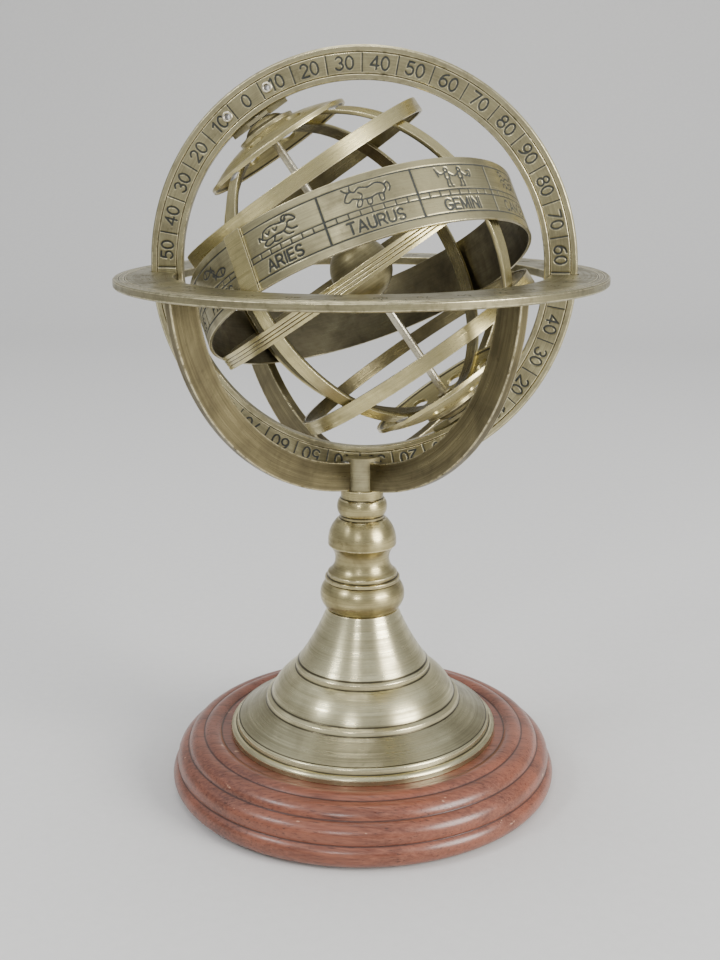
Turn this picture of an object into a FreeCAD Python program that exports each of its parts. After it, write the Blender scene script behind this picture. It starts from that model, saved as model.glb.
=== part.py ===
import FreeCAD, Part
import math
import os
import Sketcher

# Desktop armillary sphere on a turned stand.  Millimetres, +Z up, origin at the
# centre of the underside.  The meridian ring lies in the XZ plane and the polar
# axis leans from +Z towards -X.  Each sub-part is one solid (or one set of equal
# fasteners) and is written to parts/NODE.step.

doc = FreeCAD.newDocument("armillary_sphere")
sheet = doc.addObject("Spreadsheet::Sheet", "dims")

SIZES = {
    # where the sphere sits and how it stands at rest
    "sphere_height": 161.0,
    "pole_lean": 34.5,
    "globe_turn": 150.0,
    "ecliptic_tilt": 23.5,
    # felt, bolt and washer under the base
    "felt_radius": 56.0,
    "felt_hole_radius": 11.0,
    "felt_thickness": 1.2,
    "bolt_radius": 2.5,
    "bolt_head_radius": 4.6,
    "bolt_head_height": 3.2,
    "bolt_end_height": 70.0,
    "washer_radius": 9.0,
    "washer_thickness": 1.2,
    "counterbore_ceiling": 8.0,
    # hub and four-arm cradle
    "hub_radius": 5.9,
    "hub_bottom": 95.3,
    "hub_top": 105.4,
    "spigot_radius": 2.95,
    "spigot_length": 7.0,
    "ring_slot_width": 3.6,
    "slot_floor_gap": 0.3,
    "arm_inner_radius": 57.2,
    "arm_outer_radius": 65.9,
    "arm_thickness": 3.0,
    "arm_azimuth": 45.0,
    # horizon ring
    "horizon_top": 160.0,
    "horizon_thickness": 2.5,
    "horizon_notch_reach": 62.8,
    # meridian ring
    "meridian_thickness": 3.0,
    "meridian_outer_radius": 62.3,
    # straps that carry the polar axis, and their eyelets
    "strap_thickness": 1.0,
    "strap_half_length": 9.4,
    "strap_reach": 60.5,
    "strap_corner_radius": 2.0,
    "tongue_bottom": 51.0,
    "tongue_half_width": 3.5,
    "tongue_front": 2.6,
    "tongue_hole_radius": 1.31,
    "rivet_circle_radius": 57.4,
    "rivet_angle": 7.0,
    "rivet_tube_radius": 1.1,
    "rivet_bore_radius": 0.75,
    "rivet_head_radius": 1.6,
    "rivet_head_height": 0.45,
    # polar axis, ball and collars
    "rod_radius": 1.25,
    "rod_half_length": 52.4,
    "ball_radius": 9.2,
    "collar_radius": 2.3,
    "collar_bottom": 43.4,
    "collar_length": 2.2,
    # pierced polar caps
    "cap_outer_radius": 47.95,
    "cap_inner_radius": 47.05,
    "cap_rim_radius": 22.5,
    "cap_window_radius": 2.2,
    "cap_window_circle": 16.0,
    # colures
    "colure_outer_radius": 47.0,
    "colure_inner_radius": 45.8,
    "colure_width": 4.2,
    "colure_lap_height": 46.4,
    # tropic rings
    "tropic_outer_radius": 39.6,
    "tropic_inner_radius": 38.6,
    "tropic_width": 4.2,
    "tropic_offset": 29.0,
    # equator ring
    "equator_width": 4.2,
    # zodiac band and its lapped seam
    "zodiac_outer_radius": 49.1,
    "zodiac_inner_radius": 48.15,
    "zodiac_width": 18.0,
    "seam_outer_radius": 49.95,
    "seam_angle": 7.0,
    "seam_azimuth": 90.5,
}

# Turned sections, counter-clockwise in the (radius, height) half plane.  Each entry
# is (point, radius, height, arc): arc is the radius of the arc that arrives at the
# point, positive for a swell, negative for a hollow and 0 for a straight line.
PROFILES = {
    "wood_base": [
        ("counterbore_mouth", 10.5, 1.2, 0),
        ("foot_edge", 59.0, 1.2, 0),
        ("first_groove", 58.6, 7.4, 3.7),
        ("second_groove", 55.3, 13.3, 4.4),
        ("third_groove", 50.3, 16.8, 4.2),
        ("lip_inside", 44.8, 16.9, 3.6),
        ("bolt_hole_top", 3.0, 16.9, 0),
        ("bolt_hole_bottom", 3.0, 8.0, 0),
        ("counterbore_top", 10.5, 8.0, 0),
    ],
    "bell_foot": [
        ("rim_inside", 40.8, 16.9, 0),
        ("rim_outside", 41.9, 16.9, 0),
        ("rim_shoulder", 41.9, 18.4, 0),
        ("rim_crest", 40.6, 19.5, 1.4),
        ("rim_groove", 40.1, 19.5, 0),
        ("cone_wall", 39.9, 20.8, 0),
        ("cone_edge", 39.1, 21.5, 0.9),
        ("lower_band", 30.6, 26.8, 0),
        ("lower_band_step", 30.3, 28.2, 0),
        ("lower_band_top", 28.9, 29.0, 0),
        ("dome_start", 28.5, 29.9, 0),
        ("dome_end", 21.0, 37.3, 14.5),
        ("upper_band", 21.1, 38.9, 0),
        ("upper_band_top", 20.2, 39.7, 0),
        ("flare_top", 11.1, 56.7, -78.0),
        ("hole_top", 3.0, 56.7, 0),
        ("hole_bottom", 3.0, 55.7, 0),
        ("flare_inside_top", 9.9, 55.7, 0),
        ("flare_inside", 13.0, 49.6, 0),
        ("flare_inside_low", 16.8, 43.2, 0),
        ("upper_band_inside", 19.4, 38.6, 0),
        ("dome_inside_top", 19.9, 36.9, 0),
        ("dome_inside_low", 27.4, 29.4, 0),
        ("lower_band_inside", 29.4, 26.2, 0),
        ("cone_inside", 38.8, 20.4, 0),
        ("rim_groove_inside", 39.2, 18.5, 0),
        ("rim_roll_inside", 40.8, 18.2, 0),
    ],
    "stem": [
        ("bolt_bore_mouth", 2.5, 56.7, 0),
        ("foot", 10.6, 56.7, 0),
        ("bulb_top", 10.9, 66.0, 5.8),
        ("bulb_fillet", 11.6, 66.1, 0),
        ("bulb_fillet_top", 11.6, 67.1, 0),
        ("cove_fillet", 10.8, 67.4, 0),
        ("cove_start", 10.8, 68.5, 0),
        ("cove_end", 10.5, 77.4, -5.45),
        ("arris", 10.5, 78.1, 0),
        ("ovolo_end", 7.3, 85.8, 9.6),
        ("neck_groove", 6.85, 85.9, 0),
        ("neck_groove_top", 6.85, 86.9, 0),
        ("collar_end", 6.9, 92.0, 4.5),
        ("neck_step", 6.5, 92.3, 0),
        ("neck_top", 6.5, 95.3, 0),
        ("spigot_bore_mouth", 3.0, 95.3, 0),
        ("spigot_bore_wall", 3.0, 88.0, 0),
        ("spigot_bore_floor", 0, 88.0, 0),
        ("bolt_bore_floor", 0, 71.0, 0),
        ("bolt_bore_wall", 2.5, 71.0, 0),
    ],
    "horizon_section": [
        ("inside_bottom", 54.3, 0.2, 0),
        ("inside_bottom_chamfer", 54.5, 0, 0),
        ("outside_bottom_chamfer", 71.1, 0, 0),
        ("outside_bottom", 71.5, 0.4, 0),
        ("outside_top", 71.5, 2.1, 0),
        ("outside_top_chamfer", 71.1, 2.5, 0),
        ("first_line_out", 70.0, 2.5, 0),
        ("first_line", 69.75, 2.2, 0),
        ("first_line_in", 69.5, 2.5, 0),
        ("second_line_out", 68.4, 2.5, 0),
        ("second_line", 68.15, 2.2, 0),
        ("second_line_in", 67.9, 2.5, 0),
        ("inside_top_chamfer", 54.5, 2.5, 0),
        ("inside_top", 54.3, 2.3, 0),
    ],
    "meridian_section": [
        ("inside_back", 52.8, 0.2, 0),
        ("inside_back_chamfer", 53.0, 0, 0),
        ("back_inner_line_in", 54.3, 0, 0),
        ("back_inner_line", 54.5, 0.25, 0),
        ("back_inner_line_out", 54.7, 0, 0),
        ("back_outer_line_in", 60.1, 0, 0),
        ("back_outer_line", 60.3, 0.25, 0),
        ("back_outer_line_out", 60.5, 0, 0),
        ("outside_back_chamfer", 61.8, 0, 0),
        ("outside_back", 62.3, 0.5, 0),
        ("outside_front", 62.3, 2.5, 0),
        ("outside_front_chamfer", 61.8, 3.0, 0),
        ("front_outer_line_out", 60.5, 3.0, 0),
        ("front_outer_line", 60.3, 2.75, 0),
        ("front_outer_line_in", 60.1, 3.0, 0),
        ("front_inner_line_out", 54.7, 3.0, 0),
        ("front_inner_line", 54.5, 2.75, 0),
        ("front_inner_line_in", 54.3, 3.0, 0),
        ("inside_front_chamfer", 53.0, 3.0, 0),
        ("inside_front", 52.8, 2.8, 0),
    ],
    "equator_section": [
        ("inside_bottom", 47.05, 0, 0),
        ("outside_bottom", 48.1, 0, 0),
        ("first_line_low", 48.1, 0.95, 0),
        ("first_line", 47.9, 1.15, 0),
        ("first_line_high", 48.1, 1.35, 0),
        ("second_line_low", 48.1, 1.9, 0),
        ("second_line", 47.9, 2.1, 0),
        ("second_line_high", 48.1, 2.3, 0),
        ("third_line_low", 48.1, 2.85, 0),
        ("third_line", 47.9, 3.05, 0),
        ("third_line_high", 48.1, 3.25, 0),
        ("outside_top", 48.1, 4.2, 0),
        ("inside_top", 47.05, 4.2, 0),
    ],
    "boss_section": [
        ("bore_bottom", 1.25, 48.0, 0),
        ("flange_bottom", 8.8, 48.0, 0),
        ("flange_top", 8.8, 48.4, 0),
        ("flange_step", 6.9, 48.7, 0),
        ("dome_start", 6.1, 49.1, 0),
        ("dome_end", 2.6, 50.7, 4.2),
        ("bore_top", 1.25, 50.7, 0),
    ],
}


def fill_sheet():
    """Write one row per driving dimension: its name, its value and its alias."""
    cells = dict(SIZES)
    for profile, points in PROFILES.items():
        for point, radius, height, arc in points:
            stem_name = f"{profile}_{point}"
            cells[stem_name + "_radius"] = radius
            cells[stem_name + "_height"] = height
            if arc:
                cells[stem_name + "_arc"] = abs(arc)
    for row, (alias, value) in enumerate(cells.items(), start=1):
        sheet.set(f"A{row}", alias)
        sheet.set(f"B{row}", str(value))
        sheet.setAlias(f"B{row}", alias)
    doc.recompute()


def size(alias):
    """Read one driving dimension back from the sheet."""
    return float(sheet.get(alias))


fill_sheet()


# ---------------------------------------------------------------- building blocks
def cylinder(name, radius, height, base="0"):
    """Upright cylinder; radius, height and base height are expressions, base may be None."""
    obj = doc.addObject("Part::Cylinder", name)
    obj.setExpression("Radius", radius)
    obj.setExpression("Height", height)
    if base:
        obj.setExpression("Placement.Base.z", base)
    return obj


def box(name, x_span, y_span, z_span):
    """Box between pairs of expressions (low, high) along X, Y and Z."""
    obj = doc.addObject("Part::Box", name)
    for side, axis, (low, high) in (
        ("Length", "x", x_span),
        ("Width", "y", y_span),
        ("Height", "z", z_span),
    ):
        obj.setExpression(side, f"({high}) - ({low})")
        obj.setExpression(f"Placement.Base.{axis}", low)
    return obj


def cut(name, base, tool):
    obj = doc.addObject("Part::Cut", name)
    obj.Base = base
    obj.Tool = tool
    return obj


def common(name, base, tool):
    obj = doc.addObject("Part::Common", name)
    obj.Base = base
    obj.Tool = tool
    return obj


def fuse(name, shapes):
    obj = doc.addObject("Part::MultiFuse", name)
    obj.Shapes = shapes
    return obj


def tube(name, outer, inner, height, base="0"):
    """Plain ring: an upright cylinder less a coaxial one."""
    outside = cylinder(name + "_outside", outer, height, base)
    inside = cylinder(name + "_inside", inner, height, base)
    return cut(name, outside, inside)


def plane_of(body, role):
    return next(feature for feature in body.Origin.OriginFeatures if feature.Role == role)


def arc_between(start, end, radius, swell):
    """Minor arc from start to end; a swell has its centre on the left of the way."""
    chord = end - start
    half = chord.Length / 2
    rise = math.sqrt(radius * radius - half * half)
    left = FreeCAD.Vector(-chord.y, chord.x, 0).normalize()
    middle = (start + end) * 0.5
    centre = middle + left * rise if swell else middle - left * rise
    first, last = (start, end) if swell else (end, start)
    first_angle = math.atan2(first.y - centre.y, first.x - centre.x)
    last_angle = math.atan2(last.y - centre.y, last.x - centre.x)
    circle = Part.Circle(centre, FreeCAD.Vector(0, 0, 1), radius)
    return Part.ArcOfCircle(circle, first_angle, last_angle)


def turned(name, profile):
    """Body made by turning one of the PROFILES about the Z axis."""
    body = doc.addObject("PartDesign::Body", name)
    sketch = body.newObject("Sketcher::SketchObject", name + "_section")
    sketch.AttachmentSupport = (plane_of(body, "XZ_Plane"), [""])
    sketch.MapMode = "FlatFace"
    points = PROFILES[profile]
    corners = [FreeCAD.Vector(radius, height, 0) for _, radius, height, _ in points]
    ends = []
    for index, corner in enumerate(corners):
        following = (index + 1) % len(points)
        arc = points[following][3]
        if arc:
            geometry = arc_between(corner, corners[following], abs(arc), arc > 0)
        else:
            geometry = Part.LineSegment(corner, corners[following])
        sketch.addGeometry(geometry, False)
        ends.append((2, 1) if arc < 0 else (1, 2))
    for index in range(len(points)):
        following = (index + 1) % len(points)
        joint = (index, ends[index][1], following, ends[following][0])
        sketch.addConstraint(Sketcher.Constraint("Coincident", *joint))
    for index, (point, radius, height, arc) in enumerate(points):
        start = ends[index][0]
        alias = f"{profile}_{point}"
        for kind, value, axis in (("DistanceX", radius, -2), ("DistanceY", height, -1)):
            if value == 0:
                sketch.addConstraint(Sketcher.Constraint("PointOnObject", index, start, axis))
                continue
            constraint = Sketcher.Constraint(kind, -1, 1, index, start, value)
            number = sketch.addConstraint(constraint)
            quantity = "radius" if kind == "DistanceX" else "height"
            label = f"{point}_{quantity}"
            sketch.renameConstraint(number, label)
            sketch.setExpression(f"Constraints.{label}", f"dims.{alias}_{quantity}")
        if arc:
            edge = (index - 1) % len(points)
            number = sketch.addConstraint(Sketcher.Constraint("Radius", edge, abs(arc)))
            sketch.renameConstraint(number, point + "_arc")
            sketch.setExpression(f"Constraints.{point}_arc", f"dims.{alias}_arc")
    doc.recompute()
    turning = body.newObject("PartDesign::Revolution", name + "_turning")
    turning.Profile = sketch
    turning.ReferenceAxis = (sketch, ["V_Axis"])
    turning.Angle = 360
    body.Tip = turning
    return body


# ---------------------------------------------------------------- reference frames
UP = FreeCAD.Vector(0, 0, 1)
ALONG_X = FreeCAD.Vector(1, 0, 0)
ALONG_Y = FreeCAD.Vector(0, 1, 0)
ORIGIN = FreeCAD.Vector(0, 0, 0)


def turn(axis, degrees):
    return FreeCAD.Placement(ORIGIN, FreeCAD.Rotation(axis, degrees))


def shift(x, y, z):
    return FreeCAD.Placement(FreeCAD.Vector(x, y, z), FreeCAD.Rotation())


# In the pole frame +Z is the north pole, +Y the meridian ring's back.  The globe
# frame adds the globe's turn about its own axis.
pole_frame = shift(0, 0, size("sphere_height")) * turn(ALONG_Y, -size("pole_lean"))
south_frame = pole_frame * turn(ALONG_Y, 180)
globe_frame = pole_frame * turn(UP, size("globe_turn"))
globe_south_frame = globe_frame * turn(ALONG_Y, 180)

nodes = {}


# ---------------------------------------------------------------- base and stem
nodes["felt_pad"] = tube(
    "felt_pad", "dims.felt_radius", "dims.felt_hole_radius", "dims.felt_thickness"
)
nodes["wood_base"] = turned("wood_base", "wood_base")
nodes["bell_foot"] = turned("bell_foot", "bell_foot")
nodes["stem"] = turned("stem", "stem")

washer_bottom = "dims.counterbore_ceiling - dims.washer_thickness"
nodes["tie_washer"] = tube(
    "tie_washer", "dims.washer_radius", "dims.bolt_radius", "dims.washer_thickness", washer_bottom
)
bolt_head = cylinder(
    "bolt_head",
    "dims.bolt_head_radius",
    "dims.bolt_head_height",
    washer_bottom + " - dims.bolt_head_height",
)
bolt_shank = cylinder(
    "bolt_shank", "dims.bolt_radius", f"dims.bolt_end_height - ({washer_bottom})", washer_bottom
)
nodes["tie_bolt"] = fuse("tie_bolt", [bolt_head, bolt_shank])


# ---------------------------------------------------------------- hub and cradle arms
hub_drum = cylinder("hub_drum", "dims.hub_radius", "dims.hub_top - dims.hub_bottom", "dims.hub_bottom")
hub_spigot = cylinder(
    "hub_spigot",
    "dims.spigot_radius",
    "dims.spigot_length",
    "dims.hub_bottom - dims.spigot_length",
)
hub_blank = fuse("hub_blank", [hub_drum, hub_spigot])
slot_floor = "dims.sphere_height - dims.meridian_outer_radius - dims.slot_floor_gap"
hub_slot = box(
    "hub_slot",
    ("-dims.hub_radius - 1", "dims.hub_radius + 1"),
    ("-dims.ring_slot_width / 2", "dims.ring_slot_width / 2"),
    (slot_floor, "dims.hub_top + 1"),
)
nodes["cradle_hub"] = cut("cradle_hub", hub_blank, hub_slot)


def cradle_arm(name, quarter):
    """Quarter hoop on edge, from the hub's wall up to the horizon ring's underside."""
    outside = cylinder(name + "_outside", "dims.arm_outer_radius", "dims.arm_thickness")
    inside = cylinder(name + "_inside", "dims.arm_inner_radius", "dims.arm_thickness")
    hoop = cut(name + "_hoop", outside, inside)
    hoop.Placement = shift(0, size("arm_thickness") / 2, size("sphere_height")) * turn(ALONG_X, 90)
    quadrant = box(
        name + "_quadrant",
        ("0", "dims.arm_outer_radius + 1"),
        ("-dims.arm_thickness", "dims.arm_thickness"),
        ("dims.sphere_height - dims.arm_outer_radius - 1", "dims.horizon_top - dims.horizon_thickness"),
    )
    bar = common(name + "_bar", hoop, quadrant)
    hub_space = cylinder(
        name + "_hub_space", "dims.hub_radius", "dims.sphere_height", "dims.hub_bottom - 10"
    )
    arm = cut(name, bar, hub_space)
    arm.Placement = turn(UP, size("arm_azimuth") + 90 * quarter)
    return arm


for quarter, corner in enumerate(("rear_right", "rear_left", "front_left", "front_right")):
    nodes["cradle_arm_" + corner] = cradle_arm("cradle_arm_" + corner, quarter)


# ---------------------------------------------------------------- horizon ring
horizon_blank = turned("horizon_blank", "horizon_section")
horizon_blank.Placement = shift(0, 0, size("horizon_top") - size("horizon_thickness"))
horizon_notches = box(
    "horizon_notches",
    ("-dims.horizon_notch_reach", "dims.horizon_notch_reach"),
    ("-dims.ring_slot_width / 2", "dims.ring_slot_width / 2"),
    ("dims.horizon_top - dims.horizon_thickness - 1", "dims.horizon_top + 1"),
)
nodes["horizon_ring"] = cut("horizon_ring", horizon_blank, horizon_notches)


# ---------------------------------------------------------------- meridian ring
def across_ring(name, radius, low, high, angle):
    """Pin-shaped cylinder across the meridian ring, at an angle from the north pole."""
    pin = doc.addObject("Part::Cylinder", name)
    pin.setExpression("Radius", radius)
    pin.setExpression("Height", f"({high}) - ({low})")
    reach = size("rivet_circle_radius")
    angle_rad = math.radians(angle)
    start = FreeCAD.Vector(reach * math.sin(angle_rad), 0, reach * math.cos(angle_rad))
    pin.Placement = FreeCAD.Placement(start, FreeCAD.Rotation(ALONG_X, -90))
    pin.setExpression("Placement.Base.y", low)
    return pin


RIVET_ANGLES = [pole + side * size("rivet_angle") for pole in (0, 180) for side in (-1, 1)]
ring_front = "-dims.meridian_thickness / 2"
ring_back = "dims.meridian_thickness / 2"
strap_back = "dims.meridian_thickness / 2 + dims.strap_thickness"

meridian_blank = turned("meridian_blank", "meridian_section")
meridian_blank.Placement = shift(0, size("meridian_thickness") / 2, 0) * turn(ALONG_X, 90)
rivet_holes = fuse(
    "rivet_holes",
    [
        across_ring(f"rivet_hole_{number}", "dims.rivet_tube_radius", ring_front, ring_back, angle)
        for number, angle in enumerate(RIVET_ANGLES, start=1)
    ],
)
nodes["meridian_ring"] = cut("meridian_ring", meridian_blank, rivet_holes)
nodes["meridian_ring"].Placement = pole_frame


# ---------------------------------------------------------------- pole straps and eyelets
def pole_strap(name, frame):
    """Angle strap: a plate on the ring's back and a tongue that the axis turns in."""
    plate = box(
        name + "_plate",
        ("-dims.strap_half_length", "dims.strap_half_length"),
        (ring_back, strap_back),
        ("dims.tongue_bottom", "dims.strap_reach"),
    )
    doc.recompute()
    rounding = doc.addObject("Part::Fillet", name + "_rounding")
    rounding.Base = plate
    top = size("strap_reach")
    radius = size("strap_corner_radius")
    rounding.Edges = [
        (number, radius, radius)
        for number, edge in enumerate(plate.Shape.Edges, start=1)
        if all(abs(vertex.Z - top) < 1e-6 for vertex in edge.Vertexes)
        and abs(edge.Vertexes[0].X - edge.Vertexes[1].X) < 1e-6
    ]
    tongue = box(
        name + "_tongue",
        ("-dims.tongue_half_width", "dims.tongue_half_width"),
        ("-dims.tongue_front", strap_back),
        ("dims.tongue_bottom", "dims.tongue_bottom + dims.strap_thickness"),
    )
    angle = fuse(name + "_angle", [rounding, tongue])
    axis_hole = cylinder(
        name + "_axis_hole",
        "dims.tongue_hole_radius",
        "3 * dims.strap_thickness",
        "dims.tongue_bottom - dims.strap_thickness",
    )
    rivet_holes_here = [
        across_ring(
            f"{name}_rivet_hole_{number}", "dims.rivet_tube_radius", ring_back, strap_back, side_angle
        )
        for number, side_angle in enumerate((-size("rivet_angle"), size("rivet_angle")), start=1)
    ]
    strap = cut(name, angle, fuse(name + "_holes", [axis_hole] + rivet_holes_here))
    strap.Placement = frame
    return strap


nodes["pole_strap_north"] = pole_strap("pole_strap_north", pole_frame)
nodes["pole_strap_south"] = pole_strap("pole_strap_south", south_frame)


def eyelet(name, angle):
    """Hollow rivet through the ring and the strap, with a turned-over head at each end."""
    blank = fuse(
        name + "_blank",
        [
            across_ring(name + "_tube", "dims.rivet_tube_radius", ring_front, strap_back, angle),
            across_ring(
                name + "_front_head",
                "dims.rivet_head_radius",
                ring_front + " - dims.rivet_head_height",
                ring_front,
                angle,
            ),
            across_ring(
                name + "_back_head",
                "dims.rivet_head_radius",
                strap_back,
                strap_back + " + dims.rivet_head_height",
                angle,
            ),
        ],
    )
    bore = across_ring(
        name + "_bore", "dims.rivet_bore_radius", ring_front + " - 1", strap_back + " + 1", angle
    )
    return cut(name, blank, bore)


strap_rivets = doc.addObject("Part::Compound", "strap_rivets")
strap_rivets.Links = [
    eyelet(f"eyelet_{number}", angle) for number, angle in enumerate(RIVET_ANGLES, start=1)
]
strap_rivets.Placement = pole_frame
nodes["strap_rivets"] = strap_rivets


# ---------------------------------------------------------------- polar axis
rod = cylinder("axis_rod", "dims.rod_radius", "2 * dims.rod_half_length", None)
rod.Placement = globe_frame * shift(0, 0, -size("rod_half_length"))
nodes["axis_rod"] = rod


def axis_hole(name):
    """Cylinder as wide as the rod, longer than the globe."""
    return cylinder(name, "dims.rod_radius", "2 * dims.rod_half_length + 2", "-dims.rod_half_length - 1")


solid_ball = doc.addObject("Part::Sphere", "solid_ball")
solid_ball.setExpression("Radius", "dims.ball_radius")
nodes["centre_ball"] = cut("centre_ball", solid_ball, axis_hole("ball_bore"))
nodes["centre_ball"].Placement = globe_frame


def polar_set(pole, frame):
    """Collar, pierced cap and domed boss at one pole."""
    collar = tube(
        f"axis_collar_{pole}",
        "dims.collar_radius",
        "dims.rod_radius",
        "dims.collar_length",
        "dims.collar_bottom",
    )
    outside = doc.addObject("Part::Sphere", f"cap_outside_{pole}")
    outside.setExpression("Radius", "dims.cap_outer_radius")
    inside = doc.addObject("Part::Sphere", f"cap_inside_{pole}")
    inside.setExpression("Radius", "dims.cap_inner_radius")
    shell = cut(f"cap_shell_{pole}", outside, inside)
    disc_space = cylinder(f"cap_disc_{pole}", "dims.cap_rim_radius", "dims.cap_outer_radius", "10")
    blank = common(f"cap_blank_{pole}", shell, disc_space)
    windows = []
    for number in range(8):
        window = cylinder(
            f"cap_window_{pole}_{number}", "dims.cap_window_radius", "dims.cap_outer_radius", "10"
        )
        angle = 22.5 + 45 * number
        window.setExpression("Placement.Base.x", f"dims.cap_window_circle * cos({angle} deg)")
        window.setExpression("Placement.Base.y", f"dims.cap_window_circle * sin({angle} deg)")
        windows.append(window)
    piercing = fuse(f"cap_piercing_{pole}", windows + [axis_hole(f"cap_bore_{pole}")])
    cap = cut(f"polar_cap_{pole}", blank, piercing)
    boss = turned(f"polar_boss_{pole}", "boss_section")
    for piece in (collar, cap, boss):
        piece.Placement = frame
        nodes[piece.Name] = piece


polar_set("north", globe_frame)
polar_set("south", globe_south_frame)


# ---------------------------------------------------------------- colures
def lap_box(name, pole, low, high):
    """Box over one pole that takes one half of the thickness where the colures cross."""
    near, far = (low, high) if pole > 0 else (f"-({high})", f"-({low})")
    half_width = "dims.colure_width / 2"
    return box(name, ("-" + half_width, half_width), ("-" + half_width, half_width), (near, far))


def colure(name, upright, low, high):
    """Full hoop through both poles, half-lapped there and bored for the rod."""
    hoop = tube(
        name + "_hoop", "dims.colure_outer_radius", "dims.colure_inner_radius", "dims.colure_width"
    )
    hoop.Placement = upright
    laps = [lap_box(f"{name}_lap_{side}", pole, low, high) for side, pole in (("n", 1), ("s", -1))]
    tools = fuse(name + "_tools", laps + [axis_hole(name + "_bore")])
    ring = cut(name, hoop, tools)
    ring.Placement = globe_frame
    return ring


half_colure = size("colure_width") / 2
nodes["colure_equinox"] = colure(
    "colure_equinox",
    shift(0, half_colure, 0) * turn(ALONG_X, 90),
    "dims.colure_lap_height",
    "dims.colure_outer_radius + 1",
)
nodes["colure_solstice"] = colure(
    "colure_solstice",
    shift(-half_colure, 0, 0) * turn(ALONG_Y, 90),
    "dims.colure_inner_radius - 1",
    "dims.colure_lap_height",
)


# ---------------------------------------------------------------- rings round the axis
nodes["equator_ring"] = turned("equator_ring", "equator_section")
nodes["equator_ring"].Placement = globe_frame * shift(0, 0, -size("equator_width") / 2)

for name, side in (("tropic_north_ring", 1), ("tropic_south_ring", -1)):
    ring = tube(name, "dims.tropic_outer_radius", "dims.tropic_inner_radius", "dims.tropic_width")
    middle = side * size("tropic_offset") - size("tropic_width") / 2
    ring.Placement = globe_frame * shift(0, 0, middle)
    nodes[name] = ring


# ---------------------------------------------------------------- zodiac band
band = tube("zodiac_strip", "dims.zodiac_outer_radius", "dims.zodiac_inner_radius", "dims.zodiac_width")
seam_sector = cylinder("seam_sector", "dims.seam_outer_radius", "dims.zodiac_width")
seam_sector.setExpression("Angle", "dims.seam_angle")
seam_core = cylinder("seam_core", "dims.zodiac_outer_radius", "dims.zodiac_width")
seam = cut("seam", seam_sector, seam_core)
seam.Placement = turn(UP, size("seam_azimuth"))
nodes["zodiac_band"] = fuse("zodiac_band", [band, seam])
nodes["zodiac_band"].Placement = (
    globe_frame * turn(ALONG_X, size("ecliptic_tilt")) * shift(0, 0, -size("zodiac_width") / 2)
)


# ---------------------------------------------------------------- checks and files
doc.recompute()
for obj in doc.Objects:
    bad = [state for state in obj.State if state in ("Invalid", "Error")]
    if bad:
        raise RuntimeError(f"{obj.Name} is in state {bad}")
for name, obj in nodes.items():
    obj.Label = name
    if obj.Shape.isNull() or not obj.Shape.isValid():
        raise RuntimeError(f"{name} has no valid shape")

os.makedirs("parts", exist_ok=True)
for name, obj in nodes.items():
    obj.Shape.exportStep(f"parts/{name}.step")
    bounds = obj.Shape.optimalBoundingBox()
    print(
        f"{name}: {len(obj.Shape.Solids)} solid(s), {obj.Shape.Volume:.0f} mm3, "
        f"z {bounds.ZMin:.2f} to {bounds.ZMax:.2f}"
    )
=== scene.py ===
import math
import random

import bpy
import numpy as np
from mathutils import Matrix


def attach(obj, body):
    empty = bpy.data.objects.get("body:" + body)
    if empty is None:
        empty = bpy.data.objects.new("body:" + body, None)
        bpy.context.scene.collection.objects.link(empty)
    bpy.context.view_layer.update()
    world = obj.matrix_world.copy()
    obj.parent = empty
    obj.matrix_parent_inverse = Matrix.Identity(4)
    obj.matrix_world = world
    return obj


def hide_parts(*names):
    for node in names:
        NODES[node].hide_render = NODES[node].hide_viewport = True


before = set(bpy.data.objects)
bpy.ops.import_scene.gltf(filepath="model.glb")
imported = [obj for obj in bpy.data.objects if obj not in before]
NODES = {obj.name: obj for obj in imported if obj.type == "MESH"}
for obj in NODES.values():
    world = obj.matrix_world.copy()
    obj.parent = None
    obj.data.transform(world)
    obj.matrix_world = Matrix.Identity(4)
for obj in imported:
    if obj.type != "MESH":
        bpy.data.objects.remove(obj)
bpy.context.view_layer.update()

# Desktop armillary sphere.  Every piece is worked out in millimetres in the frame
# of the ring it belongs to, and placed in metres in the CAD frame.

MM = 0.001


# ---------------------------------------------------------------- frames and sizes
def turn(axis, degrees):
    return Matrix.Rotation(math.radians(degrees), 4, axis)


def shift(x, y, z):
    return Matrix.Translation((x * MM, y * MM, z * MM))


SPHERE_HEIGHT = 161.0
POLE = shift(0, 0, SPHERE_HEIGHT) @ turn("Y", -34.5)
GLOBE = POLE @ turn("Z", 150)
GLOBE_SOUTH = GLOBE @ turn("Y", 180)
ZODIAC = GLOBE @ turn("X", 23.5)
UPRIGHT = Matrix.Identity(4)


# ---------------------------------------------------------------- drawn lines
def arc(cx, cy, rx, ry, start, end, count=12):
    angles = np.radians(np.linspace(start, end, count + 1))
    return np.stack([cx + rx * np.cos(angles), cy + ry * np.sin(angles)], 1)


def ring(cx, cy, rx, ry):
    return arc(cx, cy, rx, ry, 0, 360, 20)


def line(*points):
    return np.array(points, float).reshape(-1, 2)


def curve(*points, per_span=5):
    """Smooth line through the points; closed when the last one repeats the first."""
    p = np.array(points, float).reshape(-1, 2)
    closed = np.allclose(p[0], p[-1])
    before = p[-2] if closed else 2 * p[0] - p[1]
    after = p[1] if closed else 2 * p[-1] - p[-2]
    q = np.vstack([before, p, after])
    out = []
    for a, b, c, d in zip(q, q[1:], q[2:], q[3:]):
        for t in np.arange(per_span) / per_span:
            out.append(0.5 * (2 * b + (c - a) * t + (2 * a - 5 * b + 4 * c - d) * t**2
                              + (3 * b - a - 3 * c + d) * t**3))
    out.append(q[-2])
    return np.array(out)


def join(*parts):
    return np.vstack(parts)


def flip(strokes, sx, sy):
    return [stroke * [sx, sy] for stroke in strokes]


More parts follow.
